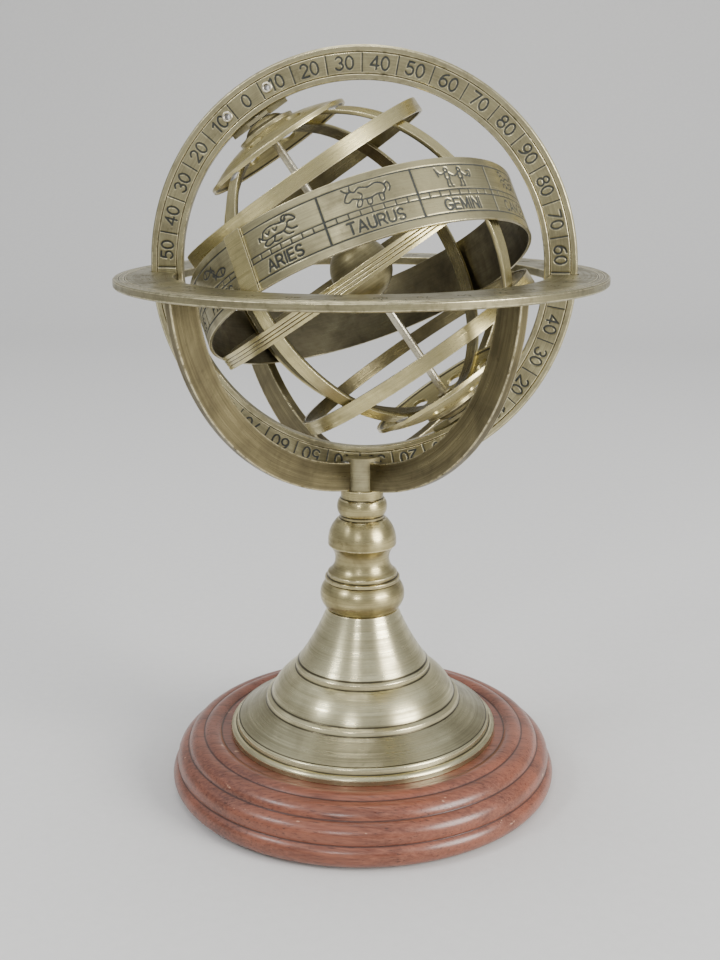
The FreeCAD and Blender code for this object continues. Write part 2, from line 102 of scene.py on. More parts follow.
# Letters and digits one unit high: (width, strokes).
GLYPHS = {
    "0": (0.62, [ring(0.31, 0.5, 0.31, 0.5)]),
    "1": (0.36, [line(0, 0.76, 0.27, 1, 0.27, 0)]),
    "2": (0.62, [join(arc(0.31, 0.71, 0.29, 0.29, 165, -38), line(0, 0, 0.62, 0))]),
    "3": (0.62, [join(arc(0.3, 0.75, 0.26, 0.25, 155, -80), arc(0.3, 0.27, 0.31, 0.27, 75, -155))]),
    "4": (0.66, [line(0.48, 0, 0.48, 1, 0, 0.3, 0.66, 0.3)]),
    "5": (0.62, [join(line(0.56, 1, 0.13, 1, 0.07, 0.54), arc(0.3, 0.32, 0.31, 0.32, 128, -150))]),
    "6": (0.62, [ring(0.31, 0.31, 0.3, 0.31), arc(0.55, 0.4, 0.54, 0.6, 92, 180)]),
    "7": (0.6, [line(0, 1, 0.6, 1, 0.2, 0)]),
    "8": (0.62, [ring(0.31, 0.76, 0.25, 0.24), ring(0.31, 0.27, 0.31, 0.27)]),
    "9": (0.62, [ring(0.31, 0.69, 0.3, 0.31), arc(0.07, 0.6, 0.54, 0.6, 0, -88)]),
    "A": (0.74, [line(0, 0, 0.37, 1, 0.74, 0), line(0.14, 0.33, 0.6, 0.33)]),
    "B": (0.62, [
        join(line(0.32, 0.52, 0, 0.52, 0, 1, 0.3, 1), arc(0.34, 0.76, 0.23, 0.24, 90, -90)),
        join(line(0, 0.52, 0, 0, 0.3, 0), arc(0.34, 0.26, 0.28, 0.26, -90, 90)),
    ]),
    "C": (0.7, [arc(0.37, 0.5, 0.37, 0.5, 48, 312)]),
    "E": (0.58, [line(0.56, 1, 0, 1, 0, 0, 0.58, 0), line(0, 0.52, 0.5, 0.52)]),
    "G": (0.74, [
        join(arc(0.38, 0.5, 0.38, 0.5, 48, 306), line(0.72, 0.14, 0.72, 0.46, 0.42, 0.46)),
    ]),
    "I": (0.08, [line(0.04, 0, 0.04, 1)]),
    "L": (0.52, [line(0, 1, 0, 0, 0.52, 0)]),
    "M": (0.78, [line(0, 0, 0, 1, 0.39, 0.08, 0.78, 1, 0.78, 0)]),
    "N": (0.62, [line(0, 0, 0, 1, 0.62, 0, 0.62, 1)]),
    "O": (0.78, [ring(0.39, 0.5, 0.39, 0.5)]),
    "P": (0.6, [
        join(line(0, 0, 0, 1, 0.3, 1), arc(0.32, 0.73, 0.27, 0.27, 90, -90), line(0, 0.46)),
    ]),
    "Q": (0.78, [ring(0.39, 0.5, 0.39, 0.5), line(0.46, 0.26, 0.78, -0.06)]),
    "R": (0.66, [
        join(line(0, 0, 0, 1, 0.32, 1), arc(0.34, 0.73, 0.27, 0.27, 90, -90), line(0, 0.46)),
        line(0.36, 0.46, 0.66, 0),
    ]),
    "S": (0.62, [
        join(arc(0.31, 0.745, 0.28, 0.255, 32, 262), arc(0.31, 0.25, 0.3, 0.25, 82, -148)),
    ]),
    "T": (0.66, [line(0, 1, 0.66, 1), line(0.33, 1, 0.33, 0)]),
    "U": (0.64, [join(line(0, 1), arc(0.32, 0.32, 0.32, 0.32, 180, 360), line(0.64, 1))]),
    "V": (0.72, [line(0, 1, 0.36, 0, 0.72, 1)]),
    "W": (0.96, [line(0, 1, 0.25, 0, 0.48, 0.9, 0.71, 0, 0.96, 1)]),
}


def lettering(text, height, gap=0.26, widest=None):
    """Strokes of a word centred on the origin, squeezed if it is wider than widest."""
    strokes, x = [], 0.0
    for letter in text:
        width, shapes = GLYPHS[letter]
        strokes += [(stroke + [x, -0.5]) * height for stroke in shapes]
        x += width + gap
    total = (x - gap) * height
    squeeze = min(1.0, widest / total) if widest else 1.0
    return [(stroke - [total / 2, 0]) * [squeeze, 1] for stroke in strokes]


def both_sides(strokes):
    return strokes + flip(strokes, -1, 1)


# Plain line figures drawn for this part, one for each of the twelve signs, in the order
# of the band and about 13 by 6 mm.
TWIN = [
    ring(0, 2.1, 0.55, 0.6),
    curve(-0.7, -0.3, -0.6, 1.2, 0, 1.5, 0.6, 1.2, 0.7, -0.3, 0, -0.5, -0.7, -0.3),
    line(-0.4, -0.4, -0.7, -2.7, -0.1, -2.7),
    line(0.4, -0.4, 0.6, -2.7, 1.1, -2.7),
]
FISH = [
    curve(-5.9, 1.3, -4.4, 2.4, -2.4, 2, -1.2, 1.2, -2.6, 0.5, -4.4, 0.4, -5.9, 1.3),
    line(-1.2, 1.2, -0.3, 2.1, -0.3, 0.4, -1.2, 1.2),
    arc(-4.6, 1.4, 0.7, 0.9, -60, 60, 6),
]
WAVE = curve(-1.8, 1.0, -0.6, 1.8, 0.6, 1, 1.8, 1.8, 3, 1, 4.2, 1.8, 5.6, 0.9)
FIGURES = {
    "ARIES": [
        curve(-4.6, -0.6, -3.6, 1.3, -1.2, 1.9, 1.6, 1.5, 3.1, 1.5),
        curve(-4.6, -0.6, -3, -1.2, -0.6, -1.0, 2.0, -1.0, 3.3, -0.2, 3.7, 0.7),
        curve(3.1, 1.5, 3.8, 2.6, 5.2, 2.2, 6.2, 1.1, 5.6, 0.7, 4.6, 0.9, 3.7, 0.7),
        curve(4.3, 2.4, 3.2, 2.9, 2.4, 2.2, 2.8, 1.3, 3.5, 1.7),
        curve(-3.1, -1.2, -4.3, -2.2, -3.2, -2.8, -1.6, -2.5),
        curve(-0.6, -1.1, -1.2, -2.4, -0.2, -2.8, 1.0, -2.6),
        curve(2.1, -1, 3.2, -2.3, 4.6, -2.5),
        curve(3.4, -0.4, 4.6, -1.4, 6.1, -1.5),
        curve(-4.6, -0.6, -5.5, 0.3, -5.6, -0.8),
        curve(-3.1, 0.7, -2.5, 0, -1.9, 0.7),
        curve(-0.7, 0.9, -0.1, 0.1, 0.5, 0.8),
    ],
    "TAURUS": [
        curve(-3.2, 1.3, -1.6, 2.2, 0.6, 1.7, 2.8, 2.3, 4.7, 1.6, 5.2, 0.1, 4.3, -1.0),
        curve(4.3, -1, 2.6, -0.8, 0.5, -1.3, -1.8, -1.1, -3.2, -0.6),
        curve(-3.2, 1.3, -4.5, 1.7, -5.7, 0.7, -6.2, -0.5, -5.3, -1.0, -4.2, -0.4, -3.2, -0.6),
        curve(-4.7, 1.6, -5.6, 2.1, -6.3, 2.9),
        curve(-3.9, 1.6, -4.2, 2.4, -4.0, 3.0),
        curve(-2.6, -0.9, -3.5, -2.6, -2.5, -2.8, -1.6, -1.3),
        curve(-0.5, -1.3, -0.5, -2.8, 0.5, -2.8, 0.9, -1.3),
        curve(2.9, -0.9, 3.0, -2.6, 3.9, -2.7, 4.2, -1.1),
        curve(4.9, 1.2, 6.0, 1.7, 6.5, 0.5, 5.9, -0.7),
        curve(-2.2, 1.0, -1.4, 0.2, -1.6, -0.6),
    ],
    "GEMINI": [stroke + [-2.3, 0] for stroke in TWIN]
    + [stroke * [-1, 1] + [2.3, 0] for stroke in TWIN]
    + [
        curve(-1.7, 1.2, -0.6, 0.4, 0.6, 0.4, 1.7, 1.2),
        curve(-2.9, 1.2, -4.4, 0.9, -5.4, 1.8),
        curve(2.9, 1.2, 4.4, 0.2, 5.6, 0.9),
        line(-5.8, 2.6, -5.2, 0.4),
        curve(5.0, 1.6, 6.2, 1.6, 6.0, 0.1, 5.2, 0.2),
    ],
    "CANCER": [ring(0, -0.2, 2.5, 1.6), arc(0, 0.4, 1.4, 0.7, 200, 340)]
    + both_sides(
        [
            curve(1.8, 0.9, 3.2, 2.0, 4.6, 1.4, 5.4, 2.4, 4.2, 2.8, 3.5, 2.2),
            curve(2.4, 0.2, 4.2, 0.5, 5.4, -0.5),
            curve(2.2, -0.8, 3.8, -0.8, 4.6, -1.9),
            curve(1.4, -1.4, 2.6, -1.8, 3.0, -2.8),
        ]
    ),
    "LEO": [
        curve(-4.2, 0.2, -2.2, 1.5, 0.8, 1.2, 2.4, 1.3),
        curve(-4.2, 0.2, -3.4, -0.9, -0.8, -0.8, 1.8, -1.0, 2.6, -0.4),
        ring(3.8, 0.9, 1.6, 1.7),
        ring(4.0, 0.8, 0.7, 0.8),
        curve(-4.2, 0.2, -5.6, 1.1, -5.9, 2.3, -5.0, 2.8),
        curve(-3.6, -0.8, -4.4, -2.6, -3.4, -2.7, -2.6, -1.0),
        curve(-0.6, -0.9, -0.8, -2.7, 0.2, -2.7, 0.6, -0.9),
        curve(2.0, -0.9, 2.6, -2.7, 3.8, -2.6),
        curve(3.2, -0.7, 4.6, -2.0, 5.8, -1.6),
    ],
    "VIRGO": [ring(0, 2.3, 0.6, 0.6), curve(-0.6, 1.5, 0, 1.7, 0.6, 1.5)]
    + both_sides(
        [
            curve(0.6, 1.5, 0.8, 0.2, 1.9, -2.7, 0, -2.8),
            curve(0.5, 1.3, 2.2, 0.4, 3.4, 1.2),
            curve(0.6, 1.4, 2.8, 2.7, 5.2, 1.6, 4.0, 0.6, 2.4, 0.2),
        ]
    )
    + [line(3.4, 0.8, 4.0, -1.4), curve(3.6, -0.6, 4.6, -0.8, 4.0, -1.4)],
    "LIBRA": [line(0, -2.7, 0, 2.6), line(-1.6, -2.7, 1.6, -2.7), arc(0, 2.2, 0.5, 0.5, 0, 360)]
    + both_sides(
        [
            curve(0, 2.1, 2.4, 2.1, 4.5, 1.5),
            line(3.0, -0.9, 4.5, 1.5, 6.0, -0.9, 3.0, -0.9),
            arc(4.5, -0.9, 1.5, 1.1, 180, 360),
        ]
    ),
    "SCORPIO": [
        ring(-1.6, 0, 1.9, 1.0),
        ring(-3.9, 0, 0.7, 0.7),
        curve(0.3, 0, 1.8, -0.5, 3.4, -0.4, 4.8, 0.6, 4.8, 2.2, 3.4, 2.7, 2.9, 1.8),
        curve(0.3, -0.5, 2.0, -1.2, 4.0, -1.0, 5.6, 0.4, 5.6, 2.2),
        line(2.9, 1.8, 3.6, 1.4),
    ]
    + [
        stroke * [1, side]
        for side in (1, -1)
        for stroke in (
            curve(-4.2, 0.6, -5.0, 1.9, -6.2, 1.8, -6.0, 0.9),
            curve(-2.6, 0.8, -3.2, 2.2),
            curve(-1.6, 1.0, -1.6, 2.4),
            curve(-0.6, 0.8, 0.2, 2.2),
        )
    ],
    "SAGITTARIUS": [
        curve(0, 2.8, 1.9, 2.1, 2.6, 0, 1.9, -2.1, 0, -2.8),
        curve(0, 2.8, 1.3, 1.8, 1.9, 0, 1.3, -1.8, 0, -2.8),
        line(0, 2.8, -1.6, 0, 0, -2.8),
        line(-4.8, 0, 5.6, 0),
        line(4.4, 1.0, 5.8, 0, 4.4, -1.0),
    ]
    + [line(x, 0, x - 1.1, side * 1.2) for x in (-4.7, -3.8) for side in (1, -1)],
    "CAPRICORN": [
        curve(-3.4, 1.1, -1.4, 1.5, 1, 1.0, 3, 0.2, 4.4, 0.8, 5.4, 1.6),
        curve(-2.8, -0.8, -0.5, -1.0, 2.2, -1.2, 4.2, -0.6, 5.6, 0.5),
        curve(5.4, 1.6, 5.2, 2.8, 6.3, 2.4, 6.6, 0.9, 5.6, 0.5),
        curve(-3.4, 1.1, -4.2, 2.3, -5.2, 1.9, -6.2, 0.9, -5.2, 0.5, -4.2, 0.8, -2.8, -0.8),
        curve(-4.3, 2.2, -3.2, 2.9, -2.0, 2.5),
        curve(-5.0, 0.5, -5.2, -0.5),
        curve(-2.6, -0.8, -4.2, -1.6, -3.8, -2.7),
        curve(-1.2, -1.0, -2.2, -2.2, -1.2, -2.8),
        curve(1.4, 0.8, 1.0, 0, 1.4, -1.0),
        curve(2.6, 0.3, 2.3, -0.4, 2.6, -1.1),
    ],
    "AQUARIUS": [
        curve(-4.8, 2.5, -3.2, 2.4, -2.4, 2.6),
        curve(-4.6, 2.4, -5.4, 1.0, -5.2, -0.8, -4.0, -1.4),
        curve(-2.6, 2.4, -2.6, 1.4, -1.8, 0.4, -2.6, -1.0, -4.0, -1.4),
        curve(-5.4, 1.4, -6.4, 0.8, -5.4, -0.4),
    ]
    + [WAVE - [0, drop] for drop in (0.2, 1.8, 3.4)],
    "PISCES": FISH + flip(FISH, -1, -1) + [curve(-0.3, 1.2, 0.8, 0.2, -0.6, -0.4, 0.3, -1.2)],
}

LINE_SOFTNESS = 0.09


def segments(strokes, width):
    """Strokes as rows of x0, y0, x1, y1, line width."""
    return np.vstack([np.hstack([stroke[:-1], stroke[1:], np.full((len(stroke) - 1, 1), width)])
                      for stroke in strokes])


def inked(x, y, rows):
    """How deep in a drawn line each point lies: 1 in the line, 0 outside it."""
    a, b = rows[:, :2], rows[:, 2:4]
    along = b - a
    length2 = np.maximum((along**2).sum(1), 1e-9)
    p = np.stack([x, y], 1)[:, None, :]
    t = np.clip(((p - a) * along).sum(2) / length2, 0, 1)
    gap = np.linalg.norm(p - (a + t[..., None] * along), axis=2) - rows[:, 4] / 2
    s = np.clip(0.5 - gap.min(1) / (2 * LINE_SOFTNESS), 0, 1)
    return s * s * (3 - 2 * s)


def engrave(ink, chosen, rows, x, y, lines):
    """Draws lines into part of an ink grid, whose points lie at x and y in the drawing."""
    block = np.ix_(chosen, rows)
    ink[block] = np.maximum(ink[block], inked(x.ravel(), y.ravel(), lines).reshape(x.shape))


def apart(angles, angle):
    """Signed difference of angles, wrapped into half a turn either way."""
    return (angles - angle + math.pi) % (2 * math.pi) - math.pi


def quarter_value(k):
    """Number at the k-th ten-degree mark: 0 up to 90 and back, twice round."""
    return str(90 - abs((10 * k) % 180 - 90))


# ---------------------------------------------------------------- sections
HOLD = 0.05  # a flat face stays flat to this distance from its eased edge


def arc_points(a, b, radius, step=0.45, fewest=4):
    """Points strictly between a and b on the minor arc; a positive radius swells."""
    a, b = np.array(a), np.array(b)
    chord = b - a
    length = np.hypot(*chord)
    rise = math.sqrt(max(radius**2 - length**2 / 4, 0))
    left = np.array([-chord[1], chord[0]]) / length
    centre = (a + b) / 2 + left * rise * (1 if radius > 0 else -1)
    first = math.atan2(*(a - centre)[::-1])
    last = math.atan2(*(b - centre)[::-1])
    sweep = (last - first + math.pi) % (2 * math.pi) - math.pi
    count = max(fewest, int(abs(sweep * radius) / step))
    angles = first + sweep * np.arange(1, count) / count
    return [tuple(centre + abs(radius) * np.array([math.cos(t), math.sin(t)])) for t in angles]


def rounded(profile, arris, closed=True, sharpest=9.0):
    """Section with its corners eased.  Returns points (r, z) and a wear value at each:
    above 0 on an arris, below 0 in a groove.

    profile rows are (r, z) or (r, z, arc), where arc swells or hollows the way in.
    Bends under sharpest degrees are left as they are.
    """
    rows = [tuple(row) + (0,) * (3 - len(row)) for row in profile]
    dense, corner = [], []
    for index, (r, z, bow) in enumerate(rows):
        if bow and (index or closed):
            mid = arc_points(rows[index - 1][:2], (r, z), bow)
            dense += mid
            corner += [False] * len(mid)
        dense.append((r, z))
        corner.append(True)
    p = np.array(dense)
    n = len(p)
    points, wear = [], []
    for i in range(n):
        if not closed and i in (0, n - 1):
            points.append(p[i])
            wear.append(0.0)
            continue
        back, ahead = p[i] - p[i - 1], p[(i + 1) % n] - p[i]
        la, lb = np.hypot(*back), np.hypot(*ahead)
        bend = math.degrees(math.atan2(back[0] * ahead[1] - back[1] * ahead[0], back @ ahead))
        if not corner[i] or abs(bend) < sharpest:
            points.append(p[i])
            wear.append(0.0)
            continue
        t = min(arris, 0.42 * la, 0.42 * lb)
        start, end = p[i] - back / la * t, p[i] + ahead / lb * t
        worn = 1.0 if bend > 0 else -1.0
        if la > 3 * t + HOLD:
            points.append(start - back / la * HOLD)
            wear.append(0.25 * worn)
        for s in (0, 0.25, 0.5, 0.75, 1):
            points.append((1 - s) ** 2 * start + 2 * s * (1 - s) * p[i] + s * s * end)
            wear.append(worn)
        if lb > 3 * t + HOLD:
            points.append(end + ahead / lb * HOLD)
            wear.append(0.25 * worn)
    return np.array(points), np.array(wear)


def filled(section, step, inside=None):
    """Adds points along the section's long runs, where inside(r, z) is true."""
    points, wear = section
    out, out_wear = [], []
    n = len(points)
    for i in range(n):
        a, b = points[i], points[(i + 1) % n]
        out.append(a)
        out_wear.append(wear[i])
        middle = (a + b) / 2
        length = np.hypot(*(b - a))
        if length > step * 1.5 and (inside is None or inside(*middle)):
            count = int(round(length / step))
            for k in range(1, count):
                out.append(a + (b - a) * k / count)
                out_wear.append(0.0)
    return np.array(out), np.array(out_wear)


# ---------------------------------------------------------------- meshes
def set_attribute(mesh, name, kind, values):
    layer = mesh.attributes.new(name, kind, "POINT")
    field = "vector" if kind == "FLOAT_VECTOR" else "value"
    layer.data.foreach_set(field, np.ascontiguousarray(values, np.float32).ravel())


def mesh_of(name, verts_mm, faces, place, body, slot, replaced, material, track=None, **marks):
    """One piece: vertices in millimetres in its own frame, and faces.

    track (millimetres) leads the brushing: round the piece and along its section.  marks
    are ink (engraving), edge (worn arris or dirty groove) and dark (painted shade on faces in
    shadow).
    """
    mesh = bpy.data.meshes.new(name)
    counts = np.array([len(face) for face in faces], np.int32)
    loops = np.concatenate([np.asarray(face, np.int32) for face in faces])
    mesh.vertices.add(len(verts_mm))
    spin = np.array(place)
    placed = np.asarray(verts_mm, float) * MM @ spin[:3, :3].T + spin[:3, 3]
    mesh.vertices.foreach_set("co", placed.astype(np.float32).ravel())
    mesh.loops.add(len(loops))
    mesh.loops.foreach_set("vertex_index", loops)
    mesh.polygons.add(len(counts))
    starts = np.concatenate([[0], np.cumsum(counts)[:-1]]).astype(np.int32)
    mesh.polygons.foreach_set("loop_start", starts)
    mesh.update(calc_edges=True)
    mesh.validate()
    mesh.polygons.foreach_set("use_smooth", np.ones(len(counts), bool))
    if track is not None:
        set_attribute(mesh, "track", "FLOAT_VECTOR", track * MM)
        for mark in ("ink", "edge", "dark"):
            set_attribute(mesh, mark, "FLOAT", marks.get(mark, np.zeros(len(verts_mm))))
    obj = bpy.data.objects.new(name, mesh)
    bpy.context.scene.collection.objects.link(obj)
    mesh.materials.append(material)
    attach(obj, body)
    if replaced:
        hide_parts(replaced)
    return obj


def full_turn(steps):
    return np.linspace(0, 2 * math.pi, steps + 1)[:-1]


def around(angles, r, z):
    """Grid of points from radii and heights, one row per angle, as one long list."""
    a = angles[:, None]
    return np.stack(np.broadcast_arrays(r * np.cos(a), r * np.sin(a), z), -1).reshape(-1, 3)


def grid_faces(nu, nv, full_turn_round=True, closed=True):
    """Quads of a grid of nu rows by nv columns that may close on itself either way."""
    i, j = np.meshgrid(np.arange(nu if full_turn_round else nu - 1),
                       np.arange(nv if closed else nv - 1), indexing="ij")
    i2, j2 = (i + 1) % nu, (j + 1) % nv
    quads = np.stack([i * nv + j, i2 * nv + j, i2 * nv + j2, i * nv + j2], -1)
    return quads.reshape(-1, 4)


def end_faces(nu, nv):
    """The two end caps of a grid that is closed along its columns only."""
    return [tuple(range(nv))[::-1], tuple(range((nu - 1) * nv, nu * nv))]


def section_track(points):
    """Length along a closed section up to each of its points."""
    steps = np.hypot(*(np.roll(points, -1, 0) - points).T)
    return np.concatenate([[0], np.cumsum(steps)[:-1]])


def hoop(name, section, place, body, slot, replaced, material, angles=None, relief=None,
         shape=None, drop=None, shade=None):
    """Ring turned about the local Z axis from a closed section, with engraved relief.

    relief(angles, points) gives (depth, ink) grids; shape(angles, points) may move the
    section; drop(angles, points) gives the plan of the holes through the ring, and
    shade(points) how much painted shade each point of the section gets.
    """
    points, wear = section
    if angles is None:
        angles = full_turn(360)
    nu, nv = len(angles), len(points)
    r = np.broadcast_to(points[:, 0], (nu, nv)).copy()
    z = np.broadcast_to(points[:, 1], (nu, nv)).copy()
    if shape:
        r, z = shape(angles, r, z)
    normal = np.roll(points, -1, 0) - np.roll(points, 1, 0)
    normal = np.stack([normal[:, 1], -normal[:, 0]], 1)
    normal /= np.maximum(np.hypot(*normal.T)[:, None], 1e-9)
    ink = np.zeros((nu, nv))
    if relief:
        depth, ink = relief(angles, points)
        r -= depth * normal[:, 0]
        z -= depth * normal[:, 1]
    faces = grid_faces(nu, nv)
    if drop:
        faces = pierce(faces, nv, drop(angles, points))
    return mesh_of(
        name, around(angles, r, z), list(faces), place, body, slot, replaced, material,
        track=around(angles, points[:, 0].mean(), section_track(points)), ink=ink.ravel(),
        edge=np.tile(wear, nu), dark=np.tile(shade(points) if shade else np.zeros(nv), nu),
    )


def strip(inner, outer, width, arris=0.14):
    half = width / 2
    return rounded([(inner, -half), (outer, -half), (outer, half), (inner, half)], arris)


def pierce(faces, nv, plan):
    """Removes faces of a ring's two flat sides inside holes and walls the holes.

    plan is (grid of bool for vertices in a hole, partner index of each section point).
    """
    hole, partner = plan
    inside = hole.reshape(-1)[faces].all(1)
    edges = {}
    for quad in faces[inside].tolist():
        edges.update(((a, b), True) for a, b in zip(quad, quad[1:] + quad[:1]))
    walls = []
    for a, b in edges:
        if (b, a) in edges:
            continue
        ia, ja = divmod(a, nv)
        ib, jb = divmod(b, nv)
        if partner[ja] < 0 or partner[jb] < 0 or partner[ja] < ja:
            continue
        walls.append((a, b, ib * nv + partner[jb], ia * nv + partner[ja]))
    return [tuple(face) for face in faces[~inside].tolist()] + walls


def lathe(name, profile, place, body, slot, replaced, material, arris, steps):
    """Solid turned about the local Z axis from a closed profile that keeps off the axis."""
    section = rounded(profile, arris)
    return hoop(name, section, place, body, slot, replaced, material, full_turn(steps))


def solid_lathe(name, profile, place, body, slot, replaced, material, arris, steps):
    """Solid turned about the local Z axis from a profile that starts and ends on it."""
    points, wear = rounded(profile, arris, closed=False)
    angles = full_turn(steps)
    track_s = section_track(points)
    radius = points[:, 0].max()
    inner = points[1:-1]
    nu, nv = steps, len(inner)
    ends = [[0, 0, points[0, 1]], [0, 0, points[-1, 1]]]
    verts = np.vstack([around(angles, *inner.T), ends])
    end_track = [[radius, 0, track_s[0]], [radius, 0, track_s[-1]]]
    track = np.vstack([around(angles, radius, track_s[1:-1]), end_track])
    edge = np.concatenate([np.tile(wear[1:-1], nu), [0, 0]])
    faces = [tuple(face) for face in grid_faces(nu, nv, closed=False).tolist()]
    low, high = nu * nv, nu * nv + 1
    for i in range(nu):
        k = (i + 1) % nu
        faces.append((low, k * nv, i * nv))
        faces.append((high, i * nv + nv - 1, k * nv + nv - 1))
    return mesh_of(name, verts, faces, place, body, slot, replaced, material, track, edge=edge)


# ---------------------------------------------------------------- materials
class Nodes:
    """Adds shader nodes to a tree and links them, each in one call."""

    def __init__(self, tree):
        self.tree = tree

    def add(self, kind, output=0, inputs=(), **props):
        node = self.tree.nodes.new("ShaderNode" + kind)
        for key, value in props.items():
            setattr(node, key, value)
        for key, value in dict(inputs).items():
            self.feed(node.inputs[key], value)
        return node.outputs[output]

    def feed(self, socket, value):
        if isinstance(value, bpy.types.NodeSocket):
            self.tree.links.new(value, socket)
        else:
            socket.default_value = value

    def coords(self):
        return self.add("TexCoord", "Object")

    def attribute(self, name, output="Fac"):
        return self.add("Attribute", output, attribute_type="GEOMETRY", attribute_name=name)

    def scaled(self, vector, sx, sy, sz):
        return self.add("Mapping", 0, {"Vector": vector, "Scale": (sx, sy, sz)})

    def noise(self, vector, scale=1.0, detail=3.0, rough=0.55, distortion=0.0):
        inputs = {"Vector": vector, "Scale": scale, "Detail": detail, "Roughness": rough,
                  "Distortion": distortion}
        return self.add("TexNoise", "Fac", inputs)

    def ramp(self, value, low, high, to_low=0.0, to_high=1.0):
        inputs = {"Value": value, "From Min": low, "From Max": high, "To Min": to_low,
                  "To Max": to_high}
        return self.add("MapRange", 0, inputs)

    def smooth(self, value, low, high):
        inputs = {"Value": value, "From Min": low, "From Max": high}
        return self.add("MapRange", 0, inputs, interpolation_type="SMOOTHSTEP")

    def math(self, operation, a, b, clamp=False):
        return self.add("Math", 0, {0: a, 1: b}, operation=operation, use_clamp=clamp)

    def times(self, a, b, clamp=False):
        return self.math("MULTIPLY", a, b, clamp)

    def plus(self, a, b, clamp=False):
        return self.math("ADD", a, b, clamp)

    def mix(self, factor, a, b):
        """Colour from a to b by the factor; a colour is three numbers or a socket."""
        a, b = [(*tone, 1.0) if isinstance(tone, tuple) else tone for tone in (a, b)]
        return self.add("Mix", 2, {0: factor, 6: a, 7: b}, data_type="RGBA")

    def bump(self, height, distance, strength=1.0, normal=None):
        inputs = {"Height": height, "Distance": distance, "Strength": strength}
        if normal is not None:
            inputs["Normal"] = normal
        return self.add("Bump", 0, inputs)


class Paint(Nodes):
    """A new material with one Principled shader."""

    def __init__(self, name):
        self.material = bpy.data.materials.new(name)
        self.material.use_nodes = True
        super().__init__(self.material.node_tree)
        self.tree.nodes.clear()
        out = self.tree.nodes.new("ShaderNodeOutputMaterial")
        self.shader = self.tree.nodes.new("ShaderNodeBsdfPrincipled")
        self.tree.links.new(self.shader.outputs[0], out.inputs["Surface"])

    def set(self, **values):
        for key, value in values.items():
            self.feed(self.shader.inputs[key.replace("_", " ")], value)


def brass(name, light, mid, dark, own=True, brush_length=14.0, brush_width=0.16,
          patina=0.5, base_rough=0.3, anisotropic=0.0):
    """Aged brass: brushed streaks, cloudy patina, worn edges and blackened engraving,
    with grime in grooves and painted shade on faces marked dark.

    own pieces carry the attributes of mesh_of; the brush sizes are in millimetres.
    """
    n = Paint(name)
    space = n.coords()
    track = n.attribute("track", "Vector") if own else space
    long, wide = 1 / (brush_length * MM), 1 / (brush_width * MM)
    fine = n.noise(n.scaled(track, long, long, wide), detail=4, rough=0.7)
    broad = n.noise(n.scaled(track, long * 0.6, long * 0.6, wide * 0.22), detail=2, rough=0.5)
    cloud = n.noise(space, scale=85, detail=5, rough=0.62, distortion=0.4)
    spots = n.noise(space, scale=420, detail=3, rough=0.7)
    streak = n.ramp(n.plus(n.times(fine, 0.6), n.times(broad, 0.4)), 0.36, 0.64)
    aged = n.plus(n.times(n.smooth(cloud, 0.36, 0.7), patina),
                  n.times(n.smooth(spots, 0.55, 0.8), patina * 0.55), clamp=True)
    colour = n.mix(streak, mid, light)
    colour = n.mix(aged, colour, dark)
    rough = n.plus(n.ramp(streak, 0, 1, base_rough + 0.12, base_rough - 0.05),
                   n.times(aged, 0.22))
    if own:
        edge = n.attribute("edge")
        worn = n.times(n.ramp(edge, 0.1, 0.9), n.smooth(spots, 0.25, 0.6), clamp=True)
        darkening = n.times(n.ramp(edge, -0.05, -0.5), 0.9, clamp=True)
        ink = n.attribute("ink")
        colour = n.mix(n.times(worn, 0.7), colour, (0.78, 0.70, 0.44))
        # Painted shade: faces that a piece marks dark (inner faces of hoops, bores of eyelets) go
        # near-black, joined with the grime of the grooves and varied a little by the patina cloud.
        shade = n.times(n.attribute("dark"), n.ramp(cloud, 0.3, 0.7, 0.75, 1.0))
        darkening = n.math("MAXIMUM", darkening, shade)
        colour = n.mix(darkening, colour, (0.045, 0.036, 0.024))
        ink_cut = n.times(n.smooth(ink, 0.25, 0.75), n.ramp(spots, 0.2, 0.7, 1.0, 0.86))
        colour = n.mix(ink_cut, colour, (0.018, 0.023, 0.026))
        rough = n.plus(rough, n.times(ink_cut, 0.32))
        rough = n.math("SUBTRACT", rough, n.times(worn, 0.1), clamp=True)
        metallic = n.math("SUBTRACT", 1.0, n.times(ink_cut, 0.75), clamp=True)
        n.set(Metallic=metallic)
    else:
        n.set(Metallic=1.0)
    normal = n.bump(fine, 0.000012, 0.8)
    normal = n.bump(spots, 0.00002, 0.35, normal)
    n.set(Base_Color=colour, Roughness=rough, Normal=normal, Anisotropic=anisotropic)
    if anisotropic:
        n.set(Tangent=n.add("Tangent", 0, direction_type="RADIAL", axis="Z"),
              Anisotropic_Rotation=0.25)
    return n.material


RING_BRASS = brass("engraved_brass", (0.47, 0.425, 0.245), (0.30, 0.268, 0.155),
                   (0.105, 0.09, 0.055), patina=0.55)
# The horizon ring's brass is a darker copy of the engraved brass: painted shade that holds down the
# bright sky mirrored in its top.
HORIZON_BRASS_PAINTED_SHADE = brass("horizon_brass_painted_shade", (0.37, 0.335, 0.19), (0.195, 0.173, 0.10),
                      (0.09, 0.077, 0.046), patina=0.6)
HOOP_BRASS = brass("hoop_brass", (0.72, 0.63, 0.31), (0.43, 0.37, 0.175),
                   (0.15, 0.125, 0.065), base_rough=0.25, brush_length=20, brush_width=0.25)
SPUN_BRASS = brass("spun_brass", (0.76, 0.70, 0.44), (0.45, 0.41, 0.245),
                   (0.13, 0.11, 0.065), patina=0.35, base_rough=0.25, brush_length=55,
                   brush_width=0.3, anisotropic=0.7)
STEM_BRASS = brass("turned_brass", (0.62, 0.54, 0.285), (0.37, 0.315, 0.155),
                   (0.12, 0.095, 0.045), patina=0.55, base_rough=0.24, brush_length=30,
                   brush_width=0.3, anisotropic=0.5)
